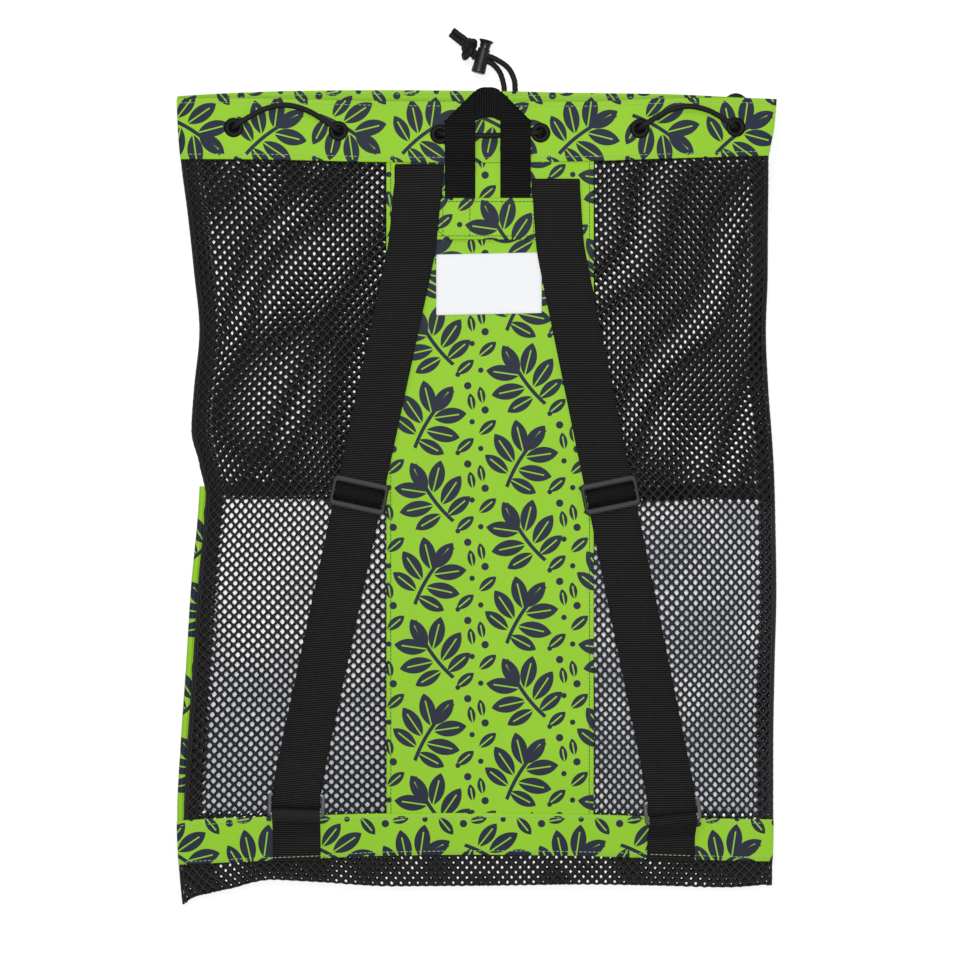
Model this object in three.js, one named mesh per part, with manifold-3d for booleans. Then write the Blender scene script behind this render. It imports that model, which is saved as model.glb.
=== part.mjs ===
// Net swim backpack, empty, lying on its front with the straps up.
// Millimetres, +Z up from the floor, +Y towards the mouth, +X to the right seen from above.
import * as THREE from "three";
import { mergeVertices } from "three/addons/utils/BufferGeometryUtils.js";
import Module from "manifold-3d";

const wasm = await Module();
wasm.setup();

// Cloth and webbing thickness, and the gap kept between pieces
const NET = 1.2;
const CLOTH = 1.0;
const BAND = 1.2;
const STRAP_THICK = 1.5;
const HANDLE_THICK = 1.2;
const GAP = 0.4;
const SEAM_LAP = 8;

// Widths
const BAG_WIDTH = 484;
const EDGE_IN = 0.6;
const STRAP_WIDTH = 38.5;
const HANDLE_WIDTH = 24.5;
const PANEL = { left: -72, right: 94, foot: -271, head: 277 };
const PATCH = { left: -58, right: 77, foot: 206, head: 238.4 };
const LABEL = { x: 10.1, y: 170, width: 84, height: 48, tilt: 1.2 };

// Height of each layer over the net of the back, at mid thickness
const OVER_NET = NET / 2 + GAP + CLOTH / 2;
const PANEL_TOP = OVER_NET + CLOTH / 2;
const BAND_LEVEL = PANEL_TOP + GAP + BAND / 2;
const BAND_TOP = BAND_LEVEL + BAND / 2;
const UNDER_STRAP = PANEL_TOP + GAP + STRAP_THICK / 2;
const UNDER_HANDLE = PANEL_TOP + GAP + HANDLE_THICK / 2;
const PATCH_LEVEL = UNDER_STRAP + STRAP_THICK / 2 + GAP + CLOTH / 2;
const OVER_PATCH = PATCH_LEVEL + CLOTH / 2 + 1.5 * GAP + STRAP_THICK / 2;
const RETURN_LEVEL = PANEL_TOP + 1.25 * GAP + STRAP_THICK / 2;
const MAIN_LEVEL = RETURN_LEVEL + STRAP_THICK + GAP;
const LABEL_LEVEL = PANEL_TOP + GAP + CLOTH / 2;

// Drawcord, eyelets and cord lock
const CORD = 4;
const EYELET = { hole: 4.6, sleeve: 5.9, flange: 8, lip: 0.7, play: 0.45, cloth: 6.6 };
const CORD_REACH = EYELET.play + EYELET.lip + GAP + CORD / 2 + 0.1;
const LOCK = { x: 1.1, y: 341.5, z: 6.4, lean: 15, radius: 5.3, foot: 5.7, head: 4.9, length: 20.5 };
const LOCK_HOLE = { y: 13, length: 9.4, height: 5 };
const PLUNGER = { radius: 3.5, foot: 6.4, flange: 6, flangeY: 25.3, flangeThick: 2.2, press: 4 };

// Strap hardware
const STRAP_PLAY = 0.8;
const SEAT_REACH = 12;
const SLIDER = { width: 45.5, length: 25.6, thick: 4, bar: 4, middle: 2, corner: 3, ramp: 8.2, crest: 2.7 };
const RING = { width: 46, length: 19.6, thick: 3, bar: 3, corner: 3.5 };

// Side outline, from the foot up: edges of the lying bag
const SIDES = [
  { y: -330, left: -238.5, right: 233 },
  { y: -303, left: -241, right: 239.5 },
  { y: -258, left: -242.5, right: 240.5 },
  { y: -206, left: -240, right: 240.5 },
  { y: -141, left: -235.5, right: 241.5 },
  { y: -77, left: -231.5, right: 243 },
  { y: -12, left: -225.5, right: 242 },
  { y: 20, left: -224, right: 241 },
  { y: 52, left: -231, right: 239 },
  { y: 85, left: -229, right: 236.5 },
  { y: 133, left: -224.5, right: 234.5 },
  { y: 182, left: -229, right: 236 },
  { y: 230, left: -234, right: 236 },
  { y: 271, left: -239, right: 236 },
  { y: 295, left: -241, right: 240 },
  { y: 320, left: -242, right: 242.5 },
];

// Height of the net walls along the bag: crown of the back, crown of the front, side seams
const HEIGHTS = [
  { y: -330, back: 4.2, front: 2.4, leftSeam: 4.2, rightSeam: 3.8 },
  { y: -312, back: 6.4, front: 2.4, leftSeam: 4.6, rightSeam: 4.2 },
  { y: -295, back: 9.6, front: 2.4, leftSeam: 5.4, rightSeam: 4.4 },
  { y: -262, back: 14, front: 2.4, leftSeam: 7.4, rightSeam: 4.6 },
  { y: -200, back: 19, front: 2.4, leftSeam: 7.4, rightSeam: 4.6 },
  { y: -5, back: 22, front: 2.4, leftSeam: 7.4, rightSeam: 4.6 },
  { y: 32, back: 22.1, front: 0.8, leftSeam: 4.6, rightSeam: 4.6 },
  { y: 180, back: 22.5, front: 0.8, leftSeam: 4.8, rightSeam: 4.8 },
  { y: 225, back: 22.9, front: 4.8, leftSeam: 8, rightSeam: 8 },
  { y: 256, back: 23.2, front: 8.5, leftSeam: 12.6, rightSeam: 12.6 },
  { y: 330, back: 23.6, front: 8.6, leftSeam: 14, rightSeam: 14 },
];

// Crossing edges, from left to right: foot fold, band edges and head edges
const EDGES = [
  { x: -243, fold: -331, footLow: -300, footHigh: -265, headLow: 271.5, backHead: 319.5, frontHead: 319.5 },
  { x: -228, fold: -322, footLow: -299, footHigh: -264, headLow: 271.5, backHead: 319.5, frontHead: 321.5 },
  { x: -176, fold: -312, footLow: -296, footHigh: -261, headLow: 271, backHead: 319, frontHead: 325 },
  { x: -130, fold: -314, footLow: -294, footHigh: -259.5, headLow: 270, backHead: 318, frontHead: 326.5 },
  { x: -70, fold: -317.5, footLow: -291, footHigh: -257.5, headLow: 268.5, backHead: 316.5, frontHead: 327 },
  { x: 10, fold: -317, footLow: -290, footHigh: -257, headLow: 268, backHead: 316, frontHead: 326.5 },
  { x: 90, fold: -316, footLow: -291, footHigh: -258, headLow: 269, backHead: 316, frontHead: 324.8 },
  { x: 150, fold: -317, footLow: -293, footHigh: -260, headLow: 271, backHead: 318.5, frontHead: 324 },
  { x: 205, fold: -318.5, footLow: -295, footHigh: -262, headLow: 273, backHead: 319.5, frontHead: 321.5 },
  { x: 243, fold: -316, footLow: -296, footHigh: -263, headLow: 274.5, backHead: 319, frontHead: 319 },
];

// Soft folds of the back: middle, direction from +X in degrees, reach along and across, height
const FOLDS = [
  { x: -196, y: 218, turn: 52, reach: 46, spread: 13, height: 2.6 },
  { x: -150, y: 168, turn: 48, reach: 55, spread: 14, height: 3.0 },
  { x: -188, y: 92, turn: 38, reach: 50, spread: 14, height: 2.8 },
  { x: -150, y: 30, turn: 62, reach: 42, spread: 12, height: 2.2 },
  { x: -196, y: -70, turn: 78, reach: 60, spread: 15, height: 2.0 },
  { x: -200, y: -190, turn: 66, reach: 50, spread: 14, height: 1.8 },
  { x: 190, y: 214, turn: 132, reach: 52, spread: 13, height: 3.0 },
  { x: 150, y: 150, turn: 118, reach: 52, spread: 13, height: 2.6 },
  { x: 200, y: 98, turn: 98, reach: 60, spread: 14, height: 2.8 },
  { x: 196, y: -20, turn: 74, reach: 55, spread: 15, height: 2.0 },
  { x: 206, y: -150, turn: 100, reach: 70, spread: 14, height: 2.0 },
  { x: 12, y: 92, turn: 6, reach: 40, spread: 16, height: 0.9 },
  { x: 8, y: -40, turn: 172, reach: 45, spread: 18, height: 1.0 },
  { x: 14, y: -170, turn: 8, reach: 45, spread: 18, height: 0.9 },
];

// Eyelets, left to right
const BACK_EYELETS = [
  { x: -195.5, y: 296 },
  { x: -111, y: 293 },
  { x: -29.4, y: 290.2 },
  { x: 51.6, y: 291.4 },
  { x: 131.5, y: 294.9 },
  { x: 208.9, y: 296.4 },
];
const FRONT_EYELETS = [
  { x: -195, y: 296 },
  { x: -110, y: 295 },
  { x: 16, y: 294 },
  { x: 42, y: 294 },
  { x: 131, y: 295 },
  { x: 209, y: 296 },
];

// Straps seen from above: fold at the head, bend, slider, the ease into the ring, and the tab at the foot
const STRAPS = [
  {
    side: "left", headX: -45.2, underX: -46.7, headY: 266.4, bendX: -52,
    easeX: -142, endSlope: 0.03, foldY: -246.5, ringY: -249.8, tabX: -145,
  },
  {
    side: "right", headX: 63.4, underX: 64.2, headY: 254.5, bendX: 67.5,
    easeX: 153.1, endSlope: -0.1, foldY: -252, ringY: -254.3, tabX: 157,
  },
];
const BEND_Y = 198;
const SLIDER_Y = 0;
const EASE_Y = -222;
const RING_LIFT = 1.8;
const RING_BARS = RING.length - RING.bar;
const STRAP_END_Y = -212;
const TAB = { foot: -295.5, bendY: -277, lap: 8.8, lapLow: 0.1, lapHigh: 2.4 };

const clamp = (value, low, high) => Math.min(high, Math.max(low, value));
const mix = (from, to, share) => from + (to - from) * share;
const point = (x, y, z) => new THREE.Vector3(x, y, z);

// Smooth curve through one column of a table
function follow(rows, key, column) {
  const at = rows.map((row) => row[key]);
  const to = rows.map((row) => row[column]);
  const last = rows.length - 1;
  const rise = at.slice(1).map((_, i) => (to[i + 1] - to[i]) / (at[i + 1] - at[i]));
  const slope = at.map((_, i) => {
    const before = rise[Math.max(0, i - 1)];
    const after = rise[Math.min(last - 1, i)];
    return before * after > 0 ? (2 * before * after) / (before + after) : 0;
  });
  return (value) => {
    const v = clamp(value, at[0], at[last]);
    let i = 0;
    while (i < last - 1 && v > at[i + 1]) i += 1;
    const span = at[i + 1] - at[i];
    const t = (v - at[i]) / span;
    const a = to[i] * (2 * t ** 3 - 3 * t ** 2 + 1) + to[i + 1] * (3 * t ** 2 - 2 * t ** 3);
    const b = slope[i] * (t ** 3 - 2 * t ** 2 + t) + slope[i + 1] * (t ** 3 - t ** 2);
    return a + span * b;
  };
}

const leftEdge = follow(SIDES, "y", "left");
const rightEdge = follow(SIDES, "y", "right");
const backCrown = follow(HEIGHTS, "y", "back");
const frontCrown = follow(HEIGHTS, "y", "front");
const leftSeam = follow(HEIGHTS, "y", "leftSeam");
const rightSeam = follow(HEIGHTS, "y", "rightSeam");
const edgeAt = (name) => follow(EDGES, "x", name);

// Lower left, where the front panel wraps over the edge of the back
const WRAP = { top: 2, width: 6.6, radius: 3.1, fade: 20 };
const wrapShare = (y) => clamp((WRAP.top + WRAP.fade - y) / WRAP.fade, 0, 1);
const netLeft = (y) => leftEdge(y) + (WRAP.width + 1) * wrapShare(y);

function acrossShare(x, y) {
  const left = netLeft(y);
  const right = rightEdge(y);
  return clamp((2 * x - left - right) / (right - left), -1, 1);
}

function foldHeight(x, y) {
  return FOLDS.reduce((sum, fold) => {
    const turn = THREE.MathUtils.degToRad(fold.turn);
    const along = (x - fold.x) * Math.cos(turn) + (y - fold.y) * Math.sin(turn);
    const across = (y - fold.y) * Math.cos(turn) - (x - fold.x) * Math.sin(turn);
    return sum + fold.height * Math.exp(-((along / fold.reach) ** 2) - (across / fold.spread) ** 2);
  }, 0);
}

// Net wall of the back and of the front, at mid thickness
function backZ(x, y) {
  const share = acrossShare(x, y);
  const seam = share < 0 ? leftSeam(y) : rightSeam(y);
  const dome = 1 - Math.abs(share) ** 4;
  return seam + (backCrown(y) - seam) * dome + foldHeight(x, y) * Math.min(1, 3 * dome);
}
function frontZ(x, y) {
  const share = acrossShare(x, y);
  const seam = (share < 0 ? leftSeam(y) : rightSeam(y)) - NET - GAP;
  return mix(frontCrown(y), seam, Math.abs(share) ** 12);
}

// Closed wall of even thickness about rows of points
function wall(grid, thickness) {
  const rows = grid.length;
  const columns = grid[0].length;
  const at = (j, i) => grid[clamp(j, 0, rows - 1)][clamp(i, 0, columns - 1)];
  const positions = [];
  for (const side of [1, -1]) {
    for (let j = 0; j < rows; j += 1) {
      for (let i = 0; i < columns; i += 1) {
        const across = at(j, i + 1).clone().sub(at(j, i - 1));
        const along = at(j + 1, i).clone().sub(at(j - 1, i));
        const normal = across.cross(along).normalize();
        const p = at(j, i).clone().addScaledVector(normal, (side * thickness) / 2);
        positions.push(p.x, p.y, p.z);
      }
    }
  }
  const top = (j, i) => j * columns + i;
  const low = (j, i) => rows * columns + j * columns + i;
  const index = [];
  const quad = (a, b, c, d) => index.push(a, b, c, a, c, d);
  for (let j = 0; j < rows - 1; j += 1) {
    for (let i = 0; i < columns - 1; i += 1) {
      quad(top(j, i), top(j, i + 1), top(j + 1, i + 1), top(j + 1, i));
      quad(low(j, i), low(j + 1, i), low(j + 1, i + 1), low(j, i + 1));
    }
  }
  for (let i = 0; i < columns - 1; i += 1) {
    quad(low(0, i), low(0, i + 1), top(0, i + 1), top(0, i));
    quad(top(rows - 1, i), top(rows - 1, i + 1), low(rows - 1, i + 1), low(rows - 1, i));
  }
  for (let j = 0; j < rows - 1; j += 1) {
    quad(top(j, 0), top(j + 1, 0), low(j + 1, 0), low(j, 0));
    quad(low(j, columns - 1), low(j + 1, columns - 1), top(j + 1, columns - 1), top(j, columns - 1));
  }
  const geometry = new THREE.BufferGeometry();
  geometry.setAttribute("position", new THREE.Float32BufferAttribute(positions, 3));
  geometry.setIndex(index);
  return geometry;
}

// Wall over a patch of the plan: columns across, rows from foot to head
function cloth({ columns, rows, thickness, left, right, foot, head, height }) {
  const grid = [];
  for (let j = 0; j <= rows; j += 1) {
    const row = [];
    for (let i = 0; i <= columns; i += 1) {
      const near = mix(left(0), right(0), i / columns);
      const y = mix(foot(near), head(near), j / rows);
      const x = mix(left(y), right(y), i / columns);
      row.push(point(x, y, height(x, y)));
    }
    grid.push(row);
  }
  return wall(grid, thickness);
}

// Flat strip of webbing through stations, each with its two edges
function strip(stations, thickness) {
  return wall(stations.map(({ a, b }) => [a, b]), thickness);
}

// Route with its steps at the given points, not at even lengths
class Route extends THREE.CatmullRomCurve3 {
  getPointAt(share, target) {
    return this.getPoint(share, target);
  }
  getTangentAt(share, target) {
    return this.getTangent(share, target);
  }
}

// Round cord through points
function tube(points, sides, between = 1) {
  const radius = CORD / 2;
  const corners = [];
  for (let k = 0; k < sides; k += 1) {
    const turn = (2 * Math.PI * k) / sides;
    corners.push(new THREE.Vector2(radius * Math.cos(turn), radius * Math.sin(turn)));
  }
  return new THREE.ExtrudeGeometry(new THREE.Shape(corners), {
    steps: (points.length - 1) * between,
    extrudePath: new Route(points, false, "centripetal"),
    bevelEnabled: false,
  });
}

function roundedRectangle(width, length, corner) {
  const w = width / 2;
  const l = length / 2;
  const centres = [
    { x: w - corner, y: l - corner, from: 0 },
    { x: corner - w, y: l - corner, from: 90 },
    { x: corner - w, y: corner - l, from: 180 },
    { x: w - corner, y: corner - l, from: 270 },
  ];
  const points = [];
  for (const { x, y, from } of centres) {
    for (const step of [0, 30, 60, 90]) {
      const turn = THREE.MathUtils.degToRad(from + step);
      points.push(new THREE.Vector2(x + corner * Math.cos(turn), y + corner * Math.sin(turn)));
    }
  }
  return points;
}

function frame({ width, length, corner, thick, bar }) {
  const shape = new THREE.Shape(roundedRectangle(width, length, corner));
  const side = (width - STRAP_WIDTH) / 2 - STRAP_PLAY;
  const window = roundedRectangle(width - 2 * side, length - 2 * bar, corner / 2);
  shape.holes.push(new THREE.Path(window.reverse()));
  const geometry = new THREE.ExtrudeGeometry(shape, { depth: thick, bevelEnabled: false });
  return geometry.translate(0, 0, -thick / 2);
}

// Solids for cuts and joins
function toSolid(geometry) {
  const bare = new THREE.BufferGeometry();
  bare.setAttribute("position", geometry.getAttribute("position").clone());
  if (geometry.index) bare.setIndex(geometry.index.clone());
  const merged = mergeVertices(bare, 1e-4);
  return new wasm.Manifold(new wasm.Mesh({
    numProp: 3,
    vertProperties: new Float32Array(merged.getAttribute("position").array),
    triVerts: new Uint32Array(merged.index.array),
  }));
}
function fromSolid(solid) {
  const mesh = solid.getMesh();
  const geometry = new THREE.BufferGeometry();
  geometry.setAttribute("position", new THREE.Float32BufferAttribute(mesh.vertProperties, 3));
  geometry.setIndex(new THREE.Uint32BufferAttribute(mesh.triVerts, 1));
  return geometry;
}
const box = (width, length, height, x, y, z) =>
  new THREE.BoxGeometry(width, length, height).translate(x, y, z);

const group = new THREE.Group();
group.name = "net_backpack";

const FINISH = {
  net: { color: 0x17181a, roughness: 0.9, metalness: 0 },
  print: { color: 0x8cc63a, roughness: 0.75, metalness: 0 },
  label: { color: 0xf2f3f2, roughness: 0.5, metalness: 0 },
  webbing: { color: 0x141516, roughness: 0.85, metalness: 0 },
  plastic: { color: 0x1a1b1d, roughness: 0.45, metalness: 0 },
  eyelet: { color: 0x101113, roughness: 0.35, metalness: 0.6 },
  cord: { color: 0x121314, roughness: 0.8, metalness: 0 },
};

function add(name, geometry, finish, parent = group) {
  const mesh = new THREE.Mesh(geometry, new THREE.MeshStandardMaterial({ ...FINISH[finish] }));
  mesh.name = name;
  parent.add(mesh);
  return mesh;
}

// Cloth cut by the round holes of the eyelets
function pierce(geometry, eyelets, height) {
  let solid = toSolid(geometry);
  for (const { x, y } of eyelets) {
    const drill = new THREE.CylinderGeometry(EYELET.cloth, EYELET.cloth, 12, 10);
    drill.rotateX(Math.PI / 2).translate(x, y, height(x, y));
    solid = solid.subtract(toSolid(drill));
  }
  return fromSolid(solid);
}

const backBandZ = (x, y) => backZ(x, y) + BAND_LEVEL;
const frontBandZ = (x, y) => frontZ(x, y) - NET / 2 - GAP - BAND / 2;

// Back: net walls, middle panel and bands
const netHead = (x) => edgeAt("headLow")(x) + SEAM_LAP;
const netFoot = (x) => edgeAt("footHigh")(x) - SEAM_LAP;
add("back_net_left", cloth({
  columns: 8, rows: 27, thickness: NET,
  left: netLeft, right: () => PANEL.left + SEAM_LAP, foot: netFoot, head: netHead, height: backZ,
}), "net");
add("back_net_right", cloth({
  columns: 8, rows: 27, thickness: NET,
  left: () => PANEL.right - SEAM_LAP, right: rightEdge, foot: netFoot, head: netHead, height: backZ,
}), "net");
add("back_panel", cloth({
  columns: 6, rows: 20, thickness: CLOTH,
  left: () => PANEL.left, right: () => PANEL.right,
  foot: () => PANEL.foot, head: () => PANEL.head,
  height: (x, y) => backZ(x, y) + OVER_NET,
}), "print");
add("top_band_back", pierce(cloth({
  columns: 20, rows: 2, thickness: BAND,
  left: (y) => leftEdge(y) + EDGE_IN, right: (y) => rightEdge(y) - EDGE_IN,
  foot: edgeAt("headLow"), head: edgeAt("backHead"), height: backBandZ,
}), BACK_EYELETS, backBandZ), "print");
add("bottom_band", cloth({
  columns: 20, rows: 3, thickness: BAND,
  left: (y) => leftEdge(y) + EDGE_IN, right: (y) => rightEdge(y) - EDGE_IN,
  foot: edgeAt("footLow"), head: edgeAt("footHigh"), height: backBandZ,
}), "print");

// Front: header band, net above and panel below, which turns over the left edge
add("top_band_front", pierce(cloth({
  columns: 20, rows: 2, thickness: BAND,
  left: (y) => leftEdge(y) + EDGE_IN, right: (y) => rightEdge(y) - EDGE_IN,
  foot: edgeAt("headLow"), head: edgeAt("frontHead"), height: frontBandZ,
}), FRONT_EYELETS, frontBandZ), "print");
const FRONT_SPLIT = { left: -2, right: -6 };
const panelHead = (x) => mix(FRONT_SPLIT.left, FRONT_SPLIT.right, x / BAG_WIDTH + 0.5);
add("front_net", cloth({
  columns: 10, rows: 14, thickness: NET,
  left: (y) => netLeft(y) + EDGE_IN, right: (y) => rightEdge(y) - EDGE_IN,
  foot: (x) => panelHead(x) - SEAM_LAP, head: netHead, height: frontZ,
}), "net");

const FRONT_FOOT = -256;
function frontPanel(rows, columns, curl) {
  const grid = [];
  const flat = BAND / 2;
  for (let j = 0; j <= rows; j += 1) {
    const row = [];
    const yAt = (x) => mix(FRONT_FOOT, panelHead(x), j / rows);
    const y = yAt(-BAG_WIDTH / 2);
    const edge = leftEdge(y) + BAND / 2;
    const right = rightEdge(yAt(BAG_WIDTH / 2)) - EDGE_IN;
    const rise = WRAP.radius;
    row.push(point(edge + WRAP.width - BAND, y, flat + 2 * rise));
    for (let k = 0; k <= curl; k += 1) {
      const turn = Math.PI / 2 + (Math.PI * k) / curl;
      row.push(point(edge + rise + rise * Math.cos(turn), y, flat + rise + rise * Math.sin(turn)));
    }
    for (let i = 1; i <= columns; i += 1) {
      const x = mix(edge + rise, right, i / columns);
      row.push(point(x, yAt(x), flat));
    }
    grid.push(row);
  }
  return wall(grid, BAND);
}
add("front_panel", frontPanel(8, 10, 4), "print");

// Base: net folded flat, from under the bottom band round the foot to the front panel
const BASE = { lift: 0.1, seam: 3, round: 3.2 };
function baseNet(columns, round) {
  const foldEdge = edgeAt("fold");
  const grid = [];
  for (let k = 0; k < 7 + round; k += 1) grid.push([]);
  for (let i = 0; i <= columns; i += 1) {
    const x = mix(-BAG_WIDTH / 2, BAG_WIDTH / 2, i / columns);
    const fold = foldEdge(x) + NET / 2;
    const low = NET / 2 + BASE.lift;
    const head = edgeAt("footHigh")(x) - SEAM_LAP - BASE.seam;
    const high = backZ(x, fold + BASE.round);
    const middle = (high + low) / 2;
    const radius = (high - low) / 2;
    const section = [
      { y: FRONT_FOOT + SEAM_LAP, z: BAND + 2 * GAP + NET / 2 },
      { y: FRONT_FOOT - BASE.seam / 2, z: BAND + 2 * GAP + NET / 2 },
      { y: FRONT_FOOT - SEAM_LAP, z: low },
      { y: mix(FRONT_FOOT, fold, 0.6), z: low },
    ];
    for (let k = 0; k <= round; k += 1) {
      const turn = -Math.PI / 2 - (Math.PI * k) / round;
      const y = fold + BASE.round * (1 + Math.cos(turn));
      section.push({ y, z: middle + radius * Math.sin(turn) });
    }
    const halfway = mix(fold + BASE.round, head, 0.45);
    section.push({ y: halfway, z: backZ(x, halfway) });
    section.push({ y: head, z: backZ(x, head) });
    section.forEach(({ y, z }, k) => {
      const left = y > FRONT_FOOT - BASE.seam ? netLeft(y) + 2 * EDGE_IN : leftEdge(y) + EDGE_IN;
      grid[k].push(point(mix(left, rightEdge(y) - 2 * EDGE_IN, i / columns), y, z));
    });
  }
  return wall(grid.map((row) => row.reverse()), NET);
}
add("base_net", baseNet(14, 4), "net");

// Patch and label on the middle panel
add("anchor_patch", cloth({
  columns: 8, rows: 2, thickness: CLOTH,
  left: () => PATCH.left, right: () => PATCH.right,
  foot: () => PATCH.foot, head: () => PATCH.head,
  height: (x, y) => backZ(x, y) + PATCH_LEVEL,
}), "print");
const labelRise = Math.tan(THREE.MathUtils.degToRad(LABEL.tilt));
add("name_label", cloth({
  columns: 5, rows: 3, thickness: CLOTH,
  left: () => LABEL.x - LABEL.width / 2, right: () => LABEL.x + LABEL.width / 2,
  foot: (x) => LABEL.y - LABEL.height / 2 + (x - LABEL.x) * labelRise,
  head: (x) => LABEL.y + LABEL.height / 2 + (x - LABEL.x) * labelRise,
  height: (x, y) => backZ(x, y) + LABEL_LEVEL,
}), "label");

// Handle: two legs from under the patch over the drawcord, mitred under themselves to the top run
const HANDLE = { left: -25.4, right: 43.7, foot: 209, corner: 303.5, overCord: 10.5, drop: 4, ease: 7 };
const RUN_LEVEL = BAND_TOP + GAP + HANDLE_THICK / 2;
const CORNER_LEVEL = RUN_LEVEL + HANDLE_THICK + GAP;
const LEG = [
  { y: HANDLE.foot, level: UNDER_HANDLE },
  { y: 246, level: UNDER_HANDLE },
  { y: 262, level: BAND_TOP + GAP + HANDLE_THICK / 2 + 0.5 },
  { y: 281, level: HANDLE.overCord },
  { y: 294, level: HANDLE.overCord },
  { y: HANDLE.corner - HANDLE.drop - 0.5, level: CORNER_LEVEL + 1 },
];
function handleStations() {
  const runZ = backZ(9, 315);
  const leg = (outer, inner) => LEG.map(({ y, level }) => ({
    a: point(outer, y, backZ(outer, y) + level),
    b: point(inner, y, backZ(inner, y) + level),
  }));
  const top = HANDLE.corner + HANDLE_WIDTH;
  const mitre = (outer, inner, push, level) => ({
    a: point(outer + push, HANDLE.corner - HANDLE.drop + Math.abs(push), runZ + level),
    b: point(inner + push, top - HANDLE.drop + Math.abs(push), runZ + level),
  });
  const leftIn = HANDLE.left + HANDLE_WIDTH;
  const rightIn = HANDLE.right - HANDLE_WIDTH;
  const bend = HANDLE_THICK * 0.55;
  const half = (CORNER_LEVEL + RUN_LEVEL) / 2;
  const run = (x, fall) => ({
    a: point(x, HANDLE.corner - fall, runZ + RUN_LEVEL),
    b: point(x, top - fall, runZ + RUN_LEVEL),
  });
  const arch = HANDLE.drop * 0.6;
  return [
    ...leg(HANDLE.left, leftIn),
    mitre(HANDLE.left, leftIn, 0, CORNER_LEVEL),
    mitre(HANDLE.left, leftIn, -bend, half),
    mitre(HANDLE.left, leftIn, 0, RUN_LEVEL),
    run(leftIn + 0.5, arch),
    run(leftIn + HANDLE.ease, 0),
    run(rightIn - HANDLE.ease, 0),
    run(rightIn - 0.5, arch),
    mitre(HANDLE.right, rightIn, 0, RUN_LEVEL),
    mitre(HANDLE.right, rightIn, bend, half),
    mitre(HANDLE.right, rightIn, 0, CORNER_LEVEL),
    ...leg(HANDLE.right, rightIn).reverse(),
  ];
}
add("handle", strip(handleStations(), HANDLE_THICK), "webbing");

// Shoulder straps: under the patch, over the head fold, through the slider and round the ring
const sliderLevel = MAIN_LEVEL + STRAP_THICK / 2 + GAP + SLIDER.thick / 2;
const sliderOver = sliderLevel - SLIDER.thick / 2 + SLIDER.middle + GAP + STRAP_THICK / 2;
const ringTurn = Math.hypot(RING.thick, RING.bar) / 2 + GAP + STRAP_THICK / 2 + STRAP_PLAY;
const ringLevel = RETURN_LEVEL + RING_LIFT + ringTurn;

function strapPlan(strap) {
  const run = point(strap.easeX - strap.bendX, EASE_Y - BEND_Y, 0).normalize();
  const head = point(strap.bendX - strap.headX, BEND_Y - strap.headY, 0).normalize();
  const end = point(-strap.endSlope, -1, 0).normalize();
  const slope = run.x / run.y;
  const span = EASE_Y - strap.foldY;
  const middle = (y) => {
    if (y > BEND_Y) return mix(strap.bendX, strap.headX, (y - BEND_Y) / (strap.headY - BEND_Y));
    const bow = Math.max(0, EASE_Y - y) ** 2 / (2 * span);
    return strap.bendX + slope * (y - BEND_Y) - (strap.endSlope - slope) * bow;
  };
  const heading = (y) => {
    if (y < EASE_Y) return run.clone().lerp(end, clamp((EASE_Y - y) / span, 0, 1)).normalize();
    return head.clone().lerp(run, clamp((BEND_Y + 30 - y) / 60, 0, 1)).normalize();
  };
  return { run, end, middle, heading };
}
function ringCentre(strap, shift) {
  const { end, middle } = strapPlan(strap);
  const down = (strap.foldY - strap.ringY) / -end.y + shift;
  return point(middle(strap.foldY) + end.x * down, strap.foldY + end.y * down, 0);
}
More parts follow.
